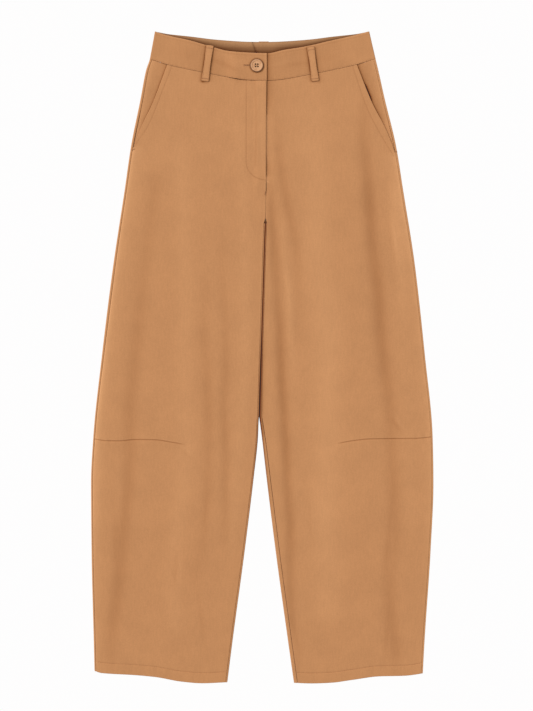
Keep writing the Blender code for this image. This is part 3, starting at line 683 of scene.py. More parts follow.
def j_line(x, y):
    """Distance from the fly's J stitching."""
    tall = FLY_CURVE_Y - FLY_FOOT_Y - 0.0006
    depth = np.clip((FLY_CURVE_Y - y) / tall, 0, 1)
    curve = J_X + FLY_WIDTH * (1 - np.sqrt(1 - depth ** 2))
    reach = np.clip((x - J_X) / FLY_WIDTH, 0, 1)
    low = FLY_CURVE_Y - tall * np.sqrt(1 - (1 - reach) ** 2)
    beside = abs(x - curve)
    away = np.where((y > FLY_CURVE_Y) | (x < J_X), beside, np.minimum(beside, abs(y - low)))
    return away + np.maximum(FLY_FOOT_Y - y, 0)


def mouth_line(side, x, y):
    """How near a place is to the topstitching of a pocket mouth, 1 on it."""
    ends = [spot.y for spot in MOUTH_STITCH[side]]
    along = ease((y - ends[-1]) / 0.003) * ease((ends[0] + 0.006 - y) / 0.003)
    return along * bell(x - mouth_stitch[side](y), 0.0009)


def front_tone(side, x, y):
    """How much painted light or shade a front's colour carries at a place: shade in the creases,
    wrinkles and seams, beside the loops and under the fly's edge, highlights on ridges, along the
    outseams and at the inner edges, and a drift, paler towards the waist and deeper towards the hems.
    """
    inner, outer = front_edges(side, y)
    from_inner = abs(x - inner)
    from_outer = abs(outer - x)
    below_pocket = ease((POCKET_FOOT_Y[side] + 0.004 - y) / 0.008)
    if side == "right":
        painted_light = mix(0.35, 1.0, ease((y + 0.42) / 0.28))
    else:
        painted_light = mix(0.10, 0.55, ease((y + 0.42) / 0.25)) + 0.45 * ease((y - 0.10) / 0.12)
    close = 0.34 if side == "right" else 0.14
    rim = 0.27 * fall(from_outer, 0.0100) + close * fall(from_outer, 0.0018)
    tone = CREASE_TONE * crease_share(side, x, y) + below_pocket * painted_light * rim
    tone = tone + 0.025 * ease((y - 0.25) / 0.10) - 0.020 * ease((-0.20 - y) / 0.10)
    tone = tone + wrinkle_share(WRINKLES, x, y)
    from_dart = y - dart_y(side, x)
    sewn = ease((abs(x) - DART_TIP[side] + 0.002) / 0.010)
    tone = tone - sewn * 0.34 * bell(from_dart, 0.0008)
    tone = tone + sewn * 0.08 * bell(from_dart - 0.0018, 0.0010)
    tone = tone + loop_shade(x, y) - 0.13 * mouth_line(side, x, y)
    in_leg = ease((CROTCH_Y - y) / 0.010) * ease((y + 0.100) / 0.020)
    if side == "left":
        under = np.maximum(x - fly_edge(y), 0)
        beside_fly = ease((y - 0.288) / 0.006)
        tone = tone - fly_shade(y) * beside_fly * fall(under, 0.0066)
        close = ease((y - 0.318) / 0.010) * ease((0.392 - y) / 0.010)
        tone = tone + 0.60 * close * bell(under, 0.0013)
        beside_seam = (1 - beside_fly) * ease((y - CROTCH_Y + 0.004) / 0.006)
        paler = mix(0.72, 0.00, ease((0.280 - y) / 0.012))
        tone = tone + paler * beside_seam * bell(under, 0.0016)
        low = mix(0.08, 0.42, ease((0.060 - y) / 0.080))
        tone = tone - in_leg * low * fall(from_inner, 0.0022)
    else:
        tone = tone + in_leg * mix(0.02, 0.10, ease(y / 0.10)) * bell(from_inner, 0.0020)
        stitched = ease((y - FLY_FOOT_Y + 0.004) / 0.003)
        sewn_in = mix(0.22, 0.12, ease((y - 0.292) / 0.010))
        tone = tone - sewn_in * stitched * bell(j_line(x, y), 0.0009)
        below_fly = ease((0.292 - y) / 0.006) * ease((y - 0.264) / 0.012)
        tone = tone + 0.35 * below_fly * bell(from_inner, 0.0012)
        crease = -0.0115 + 0.0020 * np.sin((y - 0.30) * 22.0)
        on_fly = ease((y - 0.297) / 0.020)
        tone = tone - 0.09 * on_fly * bell(x - crease, 0.0016)
        tone = tone + 0.05 * on_fly * bell(x - 0.0002, 0.0050)
    return tone


def puckers(along, across, pitch, depth, reach):
    """Short ripples of cloth drawn up by a row of stitches."""
    wave = np.sin(along * 2 * np.pi / pitch + 0.8 * np.sin(along * 37.0))
    return depth * wave * bell(across, reach)


def front_height(side, x, y):
    """Height of a front panel's outer face, without the roll of its edges."""
    inner, outer = front_edges(side, y)
    across = np.clip((x - inner) / (outer - inner), 0.0, 1.0)
    inside = ease(np.minimum(abs(x - inner), abs(outer - x)) / 0.014)
    crown = 0.0010 * np.sin(np.pi * across) * ease((0.430 - y) / 0.110)
    crown = crown * mix(0.3, 1.0, ease((y + 0.510) / 0.070))
    top = EDGE_HEIGHT + crown + CREASE_RISE * inside * crease_share(side, x, y)
    top = top + 0.0028 * inside * wrinkle_share(WRINKLES, x, y)
    from_dart = y - dart_y(side, x)
    sewn = ease((abs(x) - DART_TIP[side] + 0.002) / 0.014)
    top = top - sewn * 0.0008 * bell(from_dart, 0.0007)
    top = top + sewn * 0.0004 * bell(abs(from_dart) - 0.0040, 0.0040)
    top = top + sewn * puckers(x, from_dart, 0.0120, 0.00022, 0.0090)
    from_tip = np.hypot(x - SIDES[side] * (DART_TIP[side] - 0.004), from_dart)
    top = top - 0.0006 * bell(from_tip, 0.0070)
    from_hem = y - hem_line[side](x)
    top = top + 0.0003 * ease((HEM_DEPTH - from_hem) / 0.0012)
    top = top - 0.0004 * bell(from_hem - HEM_DEPTH, 0.0010)
    top = top + puckers(x, from_hem - HEM_DEPTH, 0.0230, 0.00018, 0.0140)
    top = top + fly_height(side, x, y) - 0.00025 * mouth_line(side, x, y)
    if side == "right":
        top = top - 0.0003 * bell(j_line(x, y), 0.0009)
    from_mouth = abs(x - pocket_mouth[side](y))
    gape = ease(1 - abs(y - GAPE_Y) / 0.050) * ease(1 - from_mouth / 0.022)
    return top + GAPE[side] * gape


def front_panel(side):
    sign = SIDES[side]
    hem = hem_line[side]
    foot = POCKET_FOOT_Y[side]
    near_dart = (0.0004, 0.0008, 0.0012, 0.0018, 0.0026, 0.0040, 0.0060)
    anchors = [(lambda x: front_waist(abs(x)) - SEAM / 2, FINE_EDGE),
               (at_height(foot + 0.0006), (0.0012,)),
               (at_height(FLY_CURVE_TOP_Y), tuple(0.0012 * step for step in range(1, 14))),
               (lambda x: dart_y(side, x), near_dart),
               (lambda x: hem(x) + HEM_DEPTH, (0.0006, 0.0012, 0.0020)),
               (hem, FINE_EDGE)]
    grid = []
    for line in spaced_rows(anchors, 0.0040, sign * 0.12):
        inner, _ = meet(lambda y: front_edges(side, y)[0], line)
        outer, _ = meet(lambda y: front_edges(side, y)[1], line)
        inward = np.concatenate([NEAR_RIM, np.linspace(NEAR_RIM[-1], 0.042, 50)[1:]])
        outward = np.concatenate([NEAR_RIM, np.linspace(NEAR_RIM[-1], 0.026, 24)[1:]])
        middle = np.linspace(inner + sign * inward[-1], outer - sign * outward[-1], 42)[1:-1]
        x = np.concatenate([inner + sign * inward, middle, outer - sign * outward[::-1]])
        grid.append(np.stack([x, line(x), x * 0], axis=-1))
    grid = np.array(grid)
    x, y = grid[..., 0], grid[..., 1]
    at_seam = ease((0.2780 - y) / 0.012) * ease((y - CROTCH_Y) / 0.012)
    height = front_height(side, x, y)
    height -= roll(abs(x - x[:, :1]), 0.0012, mix(0.0006, 0.0001, at_seam))
    height -= roll(abs(x - x[:, -1:]), 0.0012, OUTSEAM_SUNK[side])
    height -= roll(front_waist(abs(x)) - y, 0.0015, 0.0006) + roll(y - hem(x), 0.0009, 0.0006)
    grid[..., 2] = height
    tone = front_tone(side, x, y)
    if side == "right":
        grid, tone = grid[:, ::-1], tone[:, ::-1]
    return cloth("front_" + side, grid, tone=tone)


for side in SIDES:
    front = front_panel(side)
    dress(front, both_faces, "front_panel_" + side)


# Pocket facings. A piece of the same twill behind each slant mouth, sewn into the waist and the
# side seam, with the pocket bag's edge under the front.

FACING_WALL = 0.0009
# How dark the facing is in the shade of its mouth, and where the mouth stands open
MOUTH_SHADE = [
    Row(0.4750, 0.62, 0.50), Row(0.4400, 0.62, 0.80), Row(0.4340, 0.62, 2.40),
    Row(0.4180, 0.55, 2.40), Row(0.4080, 0.50, 0.60), Row(0.3800, 0.45, 0.55),
    Row(0.3600, 0.12, 0.12), Row(0.3300, 0.00, 0.00),
]
mouth_shade = by_side(MOUTH_SHADE)


def pocket_facing(side):
    sign = SIDES[side]
    foot = POCKET_FOOT_Y[side] - 0.0006
    anchors = [(lambda x: front_waist(abs(x)) - SEAM / 2, FINE_EDGE),
               (at_height(foot), (0.001,))]
    grid = []
    for line in spaced_rows(anchors, 0.0040):
        sewn, _ = meet(lambda y: outer_edge[side](y) - sign * (reach_out[side](y) + SEAM), line)
        under, _ = meet(lambda y: pocket_mouth[side](y) - sign * 0.012, line)
        middle = np.linspace(under, sewn - sign * NEAR_RIM[-1], 40)[:-1]
        x = np.concatenate([middle, sewn - sign * NEAR_RIM[::-1]])
        y = line(x)
        shown = sign * (x - pocket_mouth[side](y))
        top = 0.0025 + 0.0011 * ease((shown - 0.002) / 0.020)
        top -= roll(abs(sewn - x), 0.0011, OUTSEAM_SUNK[side])
        top -= roll(front_waist(abs(x)) - y, 0.0015, 0.0006)
        grid.append(np.stack([x, y, top], axis=-1))
    grid = np.array(grid)
    x, y = grid[..., 0], grid[..., 1]
    shown = np.maximum(sign * (x - pocket_mouth[side](y)), 0)
    from_seam = abs(outer_edge[side](y) - x) - reach_out[side](y)
    # The tone paints a highlight beside the side seam and shade under the mouth's edge, deepest where
    # it stands open.
    rim = 0.26 * fall(np.maximum(from_seam, 0), 0.0045)
    deep = ease((y - 0.365) / 0.030) * (0.06 if side == "right" else 0.30)
    tone = rim - mouth_shade[side](y) * fall(shown, 0.0017) - deep * fall(shown, 0.0100)
    if side == "right":
        grid, tone = grid[:, ::-1], tone[:, ::-1]
    return cloth("pocket_" + side, grid, wall=FACING_WALL, tone=tone)


for side in SIDES:
    facing = pocket_facing(side)
    dress(facing, both_faces, "pocket_facing_" + side)


# Fly facing. A J shaped piece of twill inside the right front's fly, stitched through to the
# face along the J. It hides the zip.

BAND_END_X = 0.0080
below = SHELL + 0.0004
grid = []
for from_edge in np.linspace(FLY_WIDTH, 0.0018, 16):
    foot = FLY_CURVE_Y - (FLY_CURVE_Y - FLY_FOOT_Y) * math.sqrt(1 - (from_edge / FLY_WIDTH) ** 2)
    top = front_waist(abs(BAND_END_X - from_edge)) - 0.0010
    y = np.linspace(top, foot, 34)
    x = fly_edge(y) - from_edge
    grid.append(np.stack([x, y, front_height("right", x, y) - below], axis=-1))
facing = cloth("fly_inside", np.array(grid).transpose(1, 0, 2), wall=0.0008)
# The fly facing takes only the darker, shaded copy of the twill.
dress(facing, both_faces[1:], "fly_facing")


# Waistband. Two straight strips of doubled twill with a firm interlining, joined at the centre
# back. The right end laps over the left and is buttoned.

BAND_WALL = 0.0013
BAND_DEPTH = 0.0440
# Where the band's side edge starts and ends
BAND_TOP_Y = 0.5222
BAND_FOOT_Y = 0.4780
UNDERLAP_END_X = -0.0360
BACK_JOIN = {"top": -0.0150, "foot": 0.0000}
BUTTON_X = -0.0083
BUTTON_Y = 0.4669
BUTTON_RADIUS = 0.0107
BACK_BAND_EDGE = [
    Spot(0.0000, 0.5052), Spot(0.0200, 0.5055), Spot(0.0400, 0.5066), Spot(0.0780, 0.5096),
    Spot(0.1130, 0.5140), Spot(0.1510, 0.5182), Spot(0.1680, 0.5214), Spot(0.1800, 0.5232),
    Spot(0.1850, 0.5240),
]
FRONT_BAND_EDGE = [
    Spot(-0.1850, 0.5240), Spot(-0.1720, 0.5216), Spot(-0.1517, 0.5160), Spot(-0.1166, 0.5082),
    Spot(-0.0896, 0.5005), Spot(-0.0488, 0.4901), Spot(-0.0200, 0.4878), Spot(0.0072, 0.4869),
    Spot(0.0355, 0.4926), Spot(0.0704, 0.4984), Spot(0.1131, 0.5082), Spot(0.1480, 0.5160),
    Spot(0.1720, 0.5224), Spot(0.1850, 0.5250),
]
# Wrinkles of the band, painted into its colour only, as shade and light
BAND_WRINKLES = [
    Wrinkle(-0.0660, 0.4715, -0.45, 0.0200, 0.0045, -0.10),
    Wrinkle(-0.0480, 0.4640, -0.60, 0.0120, 0.0035, -0.06),
    Wrinkle(-0.0560, 0.4830, -0.45, 0.0180, 0.0040, 0.05),
    Wrinkle(-0.0380, 0.4700, 0.20, 0.0140, 0.0060, 0.04),
    Wrinkle(0.0300, 0.4720, 0.25, 0.0220, 0.0050, 0.05),
    Wrinkle(0.0580, 0.4700, 0.10, 0.0200, 0.0040, -0.08),
    Wrinkle(0.1050, 0.4790, 0.20, 0.0160, 0.0050, -0.04),
    Wrinkle(-0.1240, 0.4850, -0.25, 0.0220, 0.0060, -0.04),
]
back_band_edge = through(BACK_BAND_EDGE)
front_band_edge = through(FRONT_BAND_EDGE)


def band_height(side, x):
    """Height of the band's front layer, raised where its ends lie over each other."""
    if side == "right":
        return EDGE_HEIGHT + 0.0032 * ease((x + 0.062) / 0.024)
    return EDGE_HEIGHT + 0.0010 * ease((0.065 - x) / 0.030)


def band_face(side, x, y):
    """Height of the band's face with its slight unevenness and stitched lower edge."""
    from_seam = y - front_waist(abs(x))
    from_top = front_band_edge(x) - y
    face = band_height(side, x)
    face = face + 0.00020 * np.sin(x * 61.0 + 1.0) * ease(from_seam / 0.010)
    face = face + 0.00012 * np.sin(x * 173.0 + y * 90.0)
    face = face + puckers(x, from_seam - 0.0022, 0.0110, 0.00012, 0.0050)
    face = face - 0.00022 * bell(from_seam - 0.0018, 0.0007)
    return face - roll(from_top, 0.0016, 0.0009) - roll(from_seam - SEAM / 2, 0.0012, 0.0008)


def band_tone(x, y):
    """How much painted light or shade the band's colour carries at a place: shadows beside the loops,
    round and under the button and past the right end, light and shade along the top edge and in the
    wrinkles, a highlight inside the right end, and a little deeper towards the middle.
    """
    from_button = np.hypot(x - BUTTON_X, y - BUTTON_Y)
    tone = loop_shade(x, y) - 0.45 * bell(from_button - BUTTON_RADIUS - 0.0006, 0.0009)
    tone = tone - 1.20 * ease((0.0046 - from_button) / 0.0006)
    tone = tone - 0.05 * ease((0.150 - abs(x)) / 0.040)
    past_end = x - BAND_END_X
    tone = tone - np.where(past_end > 0, 0.62, 0.0) * fall(np.maximum(past_end, 0), 0.0036)
    from_top = front_band_edge(x) - y
    tone = tone + 0.08 * bell(from_top - 0.0016, 0.0010)
    tone = tone - 0.07 * bell(from_top - 0.0038, 0.0010)
    from_end = np.where(past_end < 0, -past_end, 1.0)
    tone = tone + 0.10 * bell(from_end - 0.0018, 0.0012)
    return tone + wrinkle_share(BAND_WRINKLES, x, y)


def waistband(side):
    sign = SIDES[side]
    front_end = BAND_END_X if side == "right" else UNDERLAP_END_X
    fine = NEAR_RIM / BAND_DEPTH
    levels = np.concatenate([fine, np.linspace(fine[-1], 1 - fine[-1], 56)[1:-1],
                             1 - fine[::-1]])
    grid, tone, inner_tone = [], [], []
    for level in levels:
        edge = mix(outer_edge[side](BAND_TOP_Y), outer_edge[side](BAND_FOOT_Y), level)
        join = mix(BACK_JOIN["top"], BACK_JOIN["foot"], level) - sign * SEAM / 2
        turn_x, turn_z = turned_edge(edge, sign, TURN_RADIUS + 0.0002)
        turn_x, turn_z = turn_x[:TURN_STEPS + 1], turn_z[:TURN_STEPS + 1]
        back = np.linspace(join, turn_x[0], 46)[:-1]
        front = np.concatenate([np.linspace(turn_x[-1], sign * 0.101, 50)[1:],
                                np.linspace(sign * 0.101, sign * 0.066, 60)[1:],
                                np.linspace(sign * 0.066, front_end + sign * NEAR_RIM[-1],
                                            90)[1:-1],
                                front_end + sign * NEAR_RIM[::-1]])
        under_x = np.concatenate([back, turn_x])
        under_z = np.concatenate([back * 0, turn_z])
        under_y = mix(back_band_edge(abs(under_x)), back_waist(abs(under_x)) + SEAM / 2, level)
        under_z = under_z + LOOP_LIFT * lift_share(under_x, under_y)
        front_y = mix(front_band_edge(front), front_waist(abs(front)) + SEAM / 2, level)
        front_z = band_face(side, front, front_y)
        front_z -= roll(abs(front - front_end), 0.0014, 0.0009 if side == "right" else 0.0)
        x = np.concatenate([under_x, front])
        y = np.concatenate([under_y, front_y])
        z = np.concatenate([under_z, front_z])
        grid.append(np.stack([x, y, z], axis=-1))
        tone.append(np.concatenate([under_x * 0, band_tone(front, front_y)]))
        # Painted shade inside the back band: a shadow deepening from its top edge down to the front
        # band's edge, with darker lines at the top edge, the centre back join and the facing seam.
        from_top = back_band_edge(abs(x)) - y
        depth = np.maximum(back_band_edge(abs(x)) - front_band_edge(x), 0.0020)
        shown = 0.88 - 1.70 * np.clip(from_top / depth, 0, 1)
        shown -= 0.55 * bell(from_top - 0.0006, 0.0008)
        shown -= 0.30 * bell(abs(x - join), 0.0008)
        shown -= 0.15 * bell(y - 0.4958, 0.0007)
        inner_tone.append(shown)
    grid, tone, inner_tone = np.array(grid), np.array(tone), np.array(inner_tone)
    if side == "left":
        grid, tone, inner_tone = grid[:, ::-1], tone[:, ::-1], inner_tone[:, ::-1]
    return cloth("band_" + side, grid, wall=BAND_WALL, tone=tone, inner_tone=inner_tone)


for side in SIDES:
    band = waistband(side)
    dress(band, both_faces, "waistband_" + side)


# Belt loops. Strips of twill folded in three, topstitched down both sides, each folded under at
# its ends and sewn down on the band. One more stands behind the centre back.

LOOP_WALL = 0.0011
BACK_LOOP = Loop("belt_loop_back_centre", CENTRE_BACK_X, 0.5064, CENTRE_BACK_X, 0.4480, 0.0160)


def belt_loop(loop, height):
    """A strip whose ends are folded under, at the height a function of place gives."""
    length = loop_length(loop)
    fine = np.array([0.0, 0.0002, 0.0005, 0.0009, 0.0014, 0.0020, 0.0028])
    along = np.concatenate([fine, np.linspace(fine[-1], length - fine[-1], 44)[1:-1],
                            length - fine[::-1]])
    near = fine[:6]
    across = np.concatenate([near, np.linspace(near[-1], loop.width - near[-1], 12)[1:-1],
                             loop.width - near[::-1]])
    down, over = np.meshgrid(along, across - loop.width / 2, indexing="ij")
    lean = (loop.foot_x - loop.top_x) / length
    drop = (loop.foot_y - loop.top_y) / length
    over = over * (1 - 0.13 * np.sin(np.pi * down / length) ** 2)
    x = loop.top_x + down * lean - over * drop
    y = loop.top_y + down * drop + over * lean
    from_rim = np.minimum(abs(over[:, -1:]) - abs(over), 0.0030)
    from_end = np.minimum(down, length - down)
    face = height(x, y, down / length)
    face = face - roll(from_rim, 0.0011, 0.0008) - roll(from_end, 0.0014, 0.0009)
    face = face - 0.00025 * bell(from_rim - 0.0019, 0.0006)
    face = face + 0.00012 * np.sin(down * 900.0) * bell(from_end, 0.012)
    face = face + 0.0004 * ease((0.0075 - from_end) / 0.0015)
    # Painted shade on the loop's turned down rims and ends, and a little painted light on its face.
    tone = 0.08 - 0.42 * fall(from_rim, 0.0008) - 0.20 * fall(from_end, 0.0010)
    return cloth(loop.name.replace("belt_", ""), np.stack([x, y, face], axis=-1), wall=LOOP_WALL,
                 tone=tone)


def over_band(x, y, share):
    """Outer face of a front loop, bowed between its sewn ends."""
    carrier = np.where(x < 0, np.maximum(band_height("right", x), front_height("right", x, y)),
                       np.maximum(band_height("left", x), front_height("left", x, y)))
    return carrier + 0.0003 + LOOP_WALL + 0.0018 * np.sin(np.pi * share)


for loop in FRONT_LOOPS:
    strap = belt_loop(loop, over_band)
    dress(strap, both_faces, loop.name)
    band = "band_right" if "right" in loop.name else "band_left"
strap = belt_loop(BACK_LOOP, lambda x, y, share: LOOP_WALL + x * 0)
dress(strap, both_faces, BACK_LOOP.name)


# Sewing. Tan polyester thread, a little darker than the cloth: lockstitches down the band's
# lower edge, pocket mouths, fly and loops, and on both hems, each pulled into the cloth.

THREAD = (0.430, 0.190, 0.075)
STITCH = namedtuple("Stitch", "length gap width height")(0.0023, 0.0007, 0.00042, 0.00022)


def place_line(path, spacing):
    """Places and directions at even spacing along a path of (x, y)."""
    path = np.array(path, float)
    step = np.hypot(*np.diff(path, axis=0).T)
    at = np.concatenate([[0.0], np.cumsum(step)])
    count = max(int(at[-1] / spacing), 1)
    middle = (np.arange(count) + 0.5) * at[-1] / count
    ahead = [np.interp(middle + 0.0005, at, path[:, i]) for i in (0, 1)]
    behind = [np.interp(middle - 0.0005, at, path[:, i]) for i in (0, 1)]
    run = np.array([ahead[0] - behind[0], ahead[1] - behind[1]]).T
    run /= np.maximum(np.linalg.norm(run, axis=1, keepdims=True), 1e-9)
    x = np.interp(middle, at, path[:, 0])
    y = np.interp(middle, at, path[:, 1])
    return x, y, run


def stitches(name, x, y, z, run, length=STITCH.length, width=STITCH.width, height=STITCH.height):
    """One mesh of short rounded stitches, thick in the middle and pulled in at the ends."""
    rings, sides = 5, 6
    along = np.array([-0.5, -0.34, 0.0, 0.34, 0.5]) * length
    girth = np.array([0.25, 0.85, 1.0, 0.85, 0.25])
    dip = np.array([-0.9, -0.1, 0.5, -0.1, -0.9]) * height
    turn = np.arange(sides) * 2 * np.pi / sides
    points, faces = [], []
    for at in range(len(x)):
        start = len(points)
        for ring in range(rings):
            off = np.cos(turn) * width / 2 * girth[ring]
            up = np.sin(turn) * height / 2 * girth[ring] + dip[ring]
            points += zip(x[at] + run[at, 0] * along[ring] - run[at, 1] * off,
                          y[at] + run[at, 1] * along[ring] + run[at, 0] * off, z[at] + up)
        for ring in range(rings - 1):
            for i in range(sides):
                low = start + ring * sides
                faces.append((low + i, low + (i + 1) % sides, low + sides + (i + 1) % sides,
                              low + sides + i))
        faces.append(tuple(start + i for i in range(sides))[::-1])
        faces.append(tuple(start + (rings - 1) * sides + i for i in range(sides)))
    return add_mesh(name, [tuple(map(float, point)) for point in points], faces)


def sew(name, path, height, spacing=STITCH.length + STITCH.gap, **sizes):
    """A row of stitches along a path of (x, y), at the height a function gives."""
    x, y, run = place_line(path, spacing)
    piece = stitches(name, x, y, height(x, y), run, **sizes)
    dress(piece, [thread], None)
    return piece


thread, shader, place = new_material("tan_thread")
shader.inputs["Base Color"].default_value = (*THREAD, 1.0)
shader.inputs["Roughness"].default_value = 0.65
for side in SIDES:
    def on_front(x, y, side=side):
        return front_height(side, x, y) + 0.00005

    sign = SIDES[side]
    sew("pocket_stitches_" + side, MOUTH_STITCH[side], on_front)
    start, stop = front_edges(side, -0.495)
    x = np.linspace(start + sign * 0.002, stop - sign * 0.002, 90)
    sew("hem_stitches_" + side, list(zip(x, hem_line[side](x) + HEM_DEPTH)),
        lambda x, y, side=side: front_height(side, x, y) + 0.00030)
    end = BAND_END_X - 0.0016 if side == "right" else BAND_END_X + 0.0022
    x = np.linspace(end, sign * 0.1770, 160)
    sew("band_stitches_" + side, list(zip(x, front_waist(abs(x)) + 0.0018)),
        lambda x, y, side=side: band_face(side, x, y) + 0.00008)
J_STITCH = [Spot(J_X, 0.4425), Spot(J_X, FLY_CURVE_Y), Spot(-0.0242, 0.3064),
            Spot(-0.0226, 0.3015), Spot(-0.0195, 0.2960), Spot(-0.0150, 0.2910),
            Spot(-0.0100, 0.2880), Spot(-0.0038, 0.2857), Spot(0.0045, 0.2840)]
sew("fly_stitches", J_STITCH, lambda x, y: front_height("right", x, y) + 0.00005)
# Bar tacks on the fronts: half a bar's length to each side of its middle, at a tilt
TACK_HALF = 0.0026
Tack = namedtuple("Tack", "name side x y tilt")
for tack in (Tack("fly_tack", "right", 0.0051, 0.2632, 0.2),
             Tack("mouth_tack_right", "right", -0.2062, 0.3330, 1.2),
             Tack("mouth_tack_left", "left", 0.2140, 0.3300, -1.1)):
    off = np.linspace(-TACK_HALF, TACK_HALF, 11)
    bar_x = tack.x + off * math.sin(tack.tilt)
    bar_y = tack.y + off * math.cos(tack.tilt)
    run = np.tile([math.cos(tack.tilt), -math.sin(tack.tilt)], (len(off), 1))
    bar = stitches(tack.name, bar_x, bar_y, front_height(tack.side, bar_x, bar_y) + 0.0002, run,
                   length=0.0017, width=0.0006, height=0.0004)
    dress(bar, [thread], None)
for loop in FRONT_LOOPS:
    length = loop_length(loop)
    along = np.array([loop.foot_x - loop.top_x, loop.foot_y - loop.top_y]) / length
    for edge, off in (("inner", 1), ("outer", -1)):
        away = off * (loop.width / 2 - 0.0019)
        ends = [(loop.top_x + along[0] * at - along[1] * away,
                 loop.top_y + along[1] * at + along[0] * away) for at in (0.003, length - 0.003)]
        sew(loop.name + "_stitches_" + edge, ends,
            lambda x, y, loop=loop: over_band(x, y, up_loop(loop, y)) - 0.00018)
    for end, at in (("top", 0.0048), ("foot", length - 0.0042)):
        middle = (loop.top_x + along[0] * at, loop.top_y + along[1] * at)
        off = np.linspace(-0.5, 0.5, 22) * (loop.width - 0.0022)
        bar_x = middle[0] - along[1] * off
        bar_y = middle[1] + along[0] * off
        run = np.tile(along, (len(off), 1))
        bar_z = over_band(bar_x, bar_y, up_loop(loop, bar_y)) + 0.00042
        bar = stitches(loop.name + "_tack_" + end, bar_x, bar_y, bar_z, run,
                       length=0.0012, width=0.00055, height=0.0003)
        dress(bar, [thread], None)


# Buttonhole. Cut through the overlapping end of the band and whipped all round in thread, with
# a bar across its outer end.

HOLE_Y = 0.4675
HOLE_START_X = -0.0285
HOLE_END_X = -0.0188


def on_band(x, y):
    return band_face("right", x, y)


x = np.linspace(HOLE_START_X + 0.0008, HOLE_END_X, 16)
for edge, up in (("upper", 1), ("lower", -1)):
    y = x * 0 + HOLE_Y + up * 0.00080
    run = np.tile([0.0, 1.0], (len(x), 1))
    whip = stitches("buttonhole_" + edge, x, y, on_band(x, y) + 0.00010, run,
                    length=0.0014, width=0.00042, height=0.0003)
    dress(whip, [thread], None)
bar_y = np.linspace(HOLE_Y - 0.0014, HOLE_Y + 0.0014, 8)
bar_x = bar_y * 0 + HOLE_START_X - 0.0006
whip = stitches("buttonhole_bar", bar_x, bar_y, on_band(bar_x, bar_y) + 0.0002,
                np.tile([1.0, 0.0], (len(bar_x), 1)), length=0.0016, width=0.0005, height=0.0004)
dress(whip, [thread], None)
# A dark sheet along the slit paints the shade inside the cut.
slit_dark, shader, place = new_material("slit_shade")
shader.inputs["Base Color"].default_value = (0.060, 0.026, 0.012, 1.0)
shader.inputs["Roughness"].default_value = 1.0
slit_x = np.linspace(HOLE_START_X + 0.0007, HOLE_END_X + 0.0010, 12)
half = 0.00014 * np.array([0.3, *([1.0] * 10), 0.6])
slit_z = on_band(slit_x, slit_x * 0 + HOLE_Y) + 0.00006
grid = np.stack([np.stack([slit_x, HOLE_Y + up * half, slit_z], axis=-1) for up in (1, -1)])
slit = cloth("buttonhole_slit", grid, wall=0.0001)
dress(slit, [slit_dark], None)


# Button. Turned polyester resin, 21 mm across, with a rounded rim left dark at its outside, a
# groove inside it and four thread holes, sewn on through the underlap.

HOLE_RADIUS = 0.00122
HOLE_SPACING = 0.0038
# Its rings from the middle of the face out over the rim and in underneath
BUTTON_PROFILE = [
    (0.0040, 0.00192), (0.0060, 0.00200), (0.00645, 0.00196), (0.00685, 0.00204),
    (0.00720, 0.00240), (0.00765, 0.00278), (0.00820, 0.00302), (0.00880, 0.00306),
    (0.00935, 0.00290), (0.00985, 0.00254), (0.01030, 0.00205), (BUTTON_RADIUS, 0.00160),
    (0.01060, 0.00118), (0.01030, 0.00080), (0.00960, 0.00036), (0.00860, 0.00010),
    (0.00660, 0.0),
]
foot = band_height("right", BUTTON_X) + 0.0003


def turned(profile, steps, x=0.0, y=0.0, first=0):
    """Points and faces of a round solid from its rings of (radius, height), top ring first."""
    turn = [2 * math.pi * step / steps for step in range(steps)]
    points = [(x + radius * math.cos(angle), y + radius * math.sin(angle), height)
              for radius, height in profile for angle in turn]
    faces = [tuple(range(first, first + steps))]
    for low in range(first, first + steps * (len(profile) - 1), steps):
        faces += [(low + step, low + steps + step, low + steps + (step + 1) % steps,
                   low + (step + 1) % steps) for step in range(steps)]
    last = first + steps * (len(profile) - 1)
    return points, faces + [tuple(range(last, last + steps))[::-1]]


button = add_mesh("button_disc", *turned(BUTTON_PROFILE, 96))
button.location = (BUTTON_X, BUTTON_Y, foot)
points, faces = [], []
for x in (-HOLE_SPACING / 2, HOLE_SPACING / 2):
    for y in (-HOLE_SPACING / 2, HOLE_SPACING / 2):
        more, sides = turned([(HOLE_RADIUS, 0.005), (HOLE_RADIUS, -0.002)], 20, x, y, len(points))
        points += more
        faces += sides
drill = add_mesh("thread_holes", points, faces)
drill.data.shade_flat()
drill.location = button.location
drill.hide_render = True
drill.hide_viewport = True
cut = button.modifiers.new("Thread holes", "BOOLEAN")
cut.operation = "DIFFERENCE"
cut.object = drill
resin, shader, place = new_material("button_resin")
tree = place.tree
cloud = place.take(place.node("ShaderNodeTexNoise", None, Vector=place, Scale=260.0, Detail=3.0))
face = cloud.between(0.35, 0.65).blend((0.560, 0.275, 0.125, 1.0), (0.670, 0.360, 0.180, 1.0))
from_centre = place.take(place.node("ShaderNodeVectorMath", {"operation": "LENGTH"}, _0=place), 1)
DARK_RIM = (0.150, 0.062, 0.030, 1.0)
up = place.take(place.node("ShaderNodeSeparateXYZ", None, _0=place), 2)
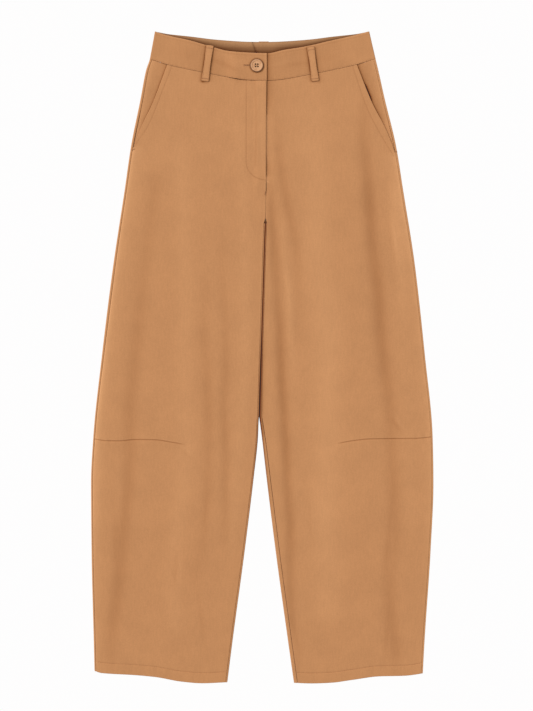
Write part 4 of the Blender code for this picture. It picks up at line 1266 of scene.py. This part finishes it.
# Painted shade: the walls of the thread holes are coloured near black.
hole_shade = (1 - from_centre.between(0.0044, 0.0050)) * (1 - up.between(0.0015, 0.00185))
face = hole_shade.blend(face, (0.020, 0.010, 0.006, 1.0))
tone = from_centre.between(0.0097, 0.0103).blend(face, DARK_RIM)
tree.links.new(tone.output, shader.inputs["Base Color"])
shader.inputs["Roughness"].default_value = 0.50
shader.inputs["Specular IOR Level"].default_value = 0.35
dress(button, [resin], "button")
diagonal = math.sqrt(0.5)
stay = stitches("button_thread", np.full(2, BUTTON_X), np.full(2, BUTTON_Y),
                np.full(2, foot + 0.00205), np.array([(diagonal, diagonal), (diagonal, -diagonal)]),
                length=0.0030, width=0.0004, height=0.0004)
dress(stay, [thread], None)


# Table, light and camera: laid on an evenly lit white table, seen straight down, in soft light
# that comes a little more from the upper left.

TABLE_HALF = 6.0
TABLE_Z = -0.0005
corners = [(-TABLE_HALF, -TABLE_HALF, TABLE_Z), (TABLE_HALF, -TABLE_HALF, TABLE_Z),
           (TABLE_HALF, TABLE_HALF, TABLE_Z), (-TABLE_HALF, TABLE_HALF, TABLE_Z)]
floor = add_mesh("floor", corners, [(0, 1, 2, 3)])
pale, shader, place = new_material("pale_table")
shader.inputs["Base Color"].default_value = (0.0, 0.0, 0.0, 1.0)
shader.inputs["Roughness"].default_value = 1.0
shader.inputs["Specular IOR Level"].default_value = 0.0
shader.inputs["Emission Color"].default_value = (0.99, 0.985, 0.985, 1.0)
shader.inputs["Emission Strength"].default_value = 1.0
floor.data.materials.append(pale)
world = bpy.data.worlds.new("daylight")
world.use_nodes = True
bpy.context.scene.world = world
sky = world.node_tree.nodes["Background"]
sky.inputs["Color"].default_value = (1.0, 1.0, 1.0, 1.0)
sky.inputs["Strength"].default_value = 0.60
window = bpy.data.lights.new("window", "SUN")
window.energy = 1.80
window.angle = math.radians(30)
lamp = bpy.data.objects.new("window", window)
bpy.context.scene.collection.objects.link(lamp)
lamp.rotation_euler = (math.radians(-22), math.radians(-38), 0.0)
# The photograph's 711 rows take in 1.1376 m of the table
LENS = 100
SENSOR = 36
camera_data = bpy.data.cameras.new("camera")
camera_data.lens = LENS
camera_data.sensor_width = SENSOR
camera = bpy.data.objects.new("camera", camera_data)
bpy.context.scene.collection.objects.link(camera)
camera.location = (0.0072, 0.0034, 1.1376 * LENS / SENSOR + EDGE_HEIGHT)
bpy.context.scene.camera = camera
bpy.context.scene.view_settings.view_transform = "Standard"
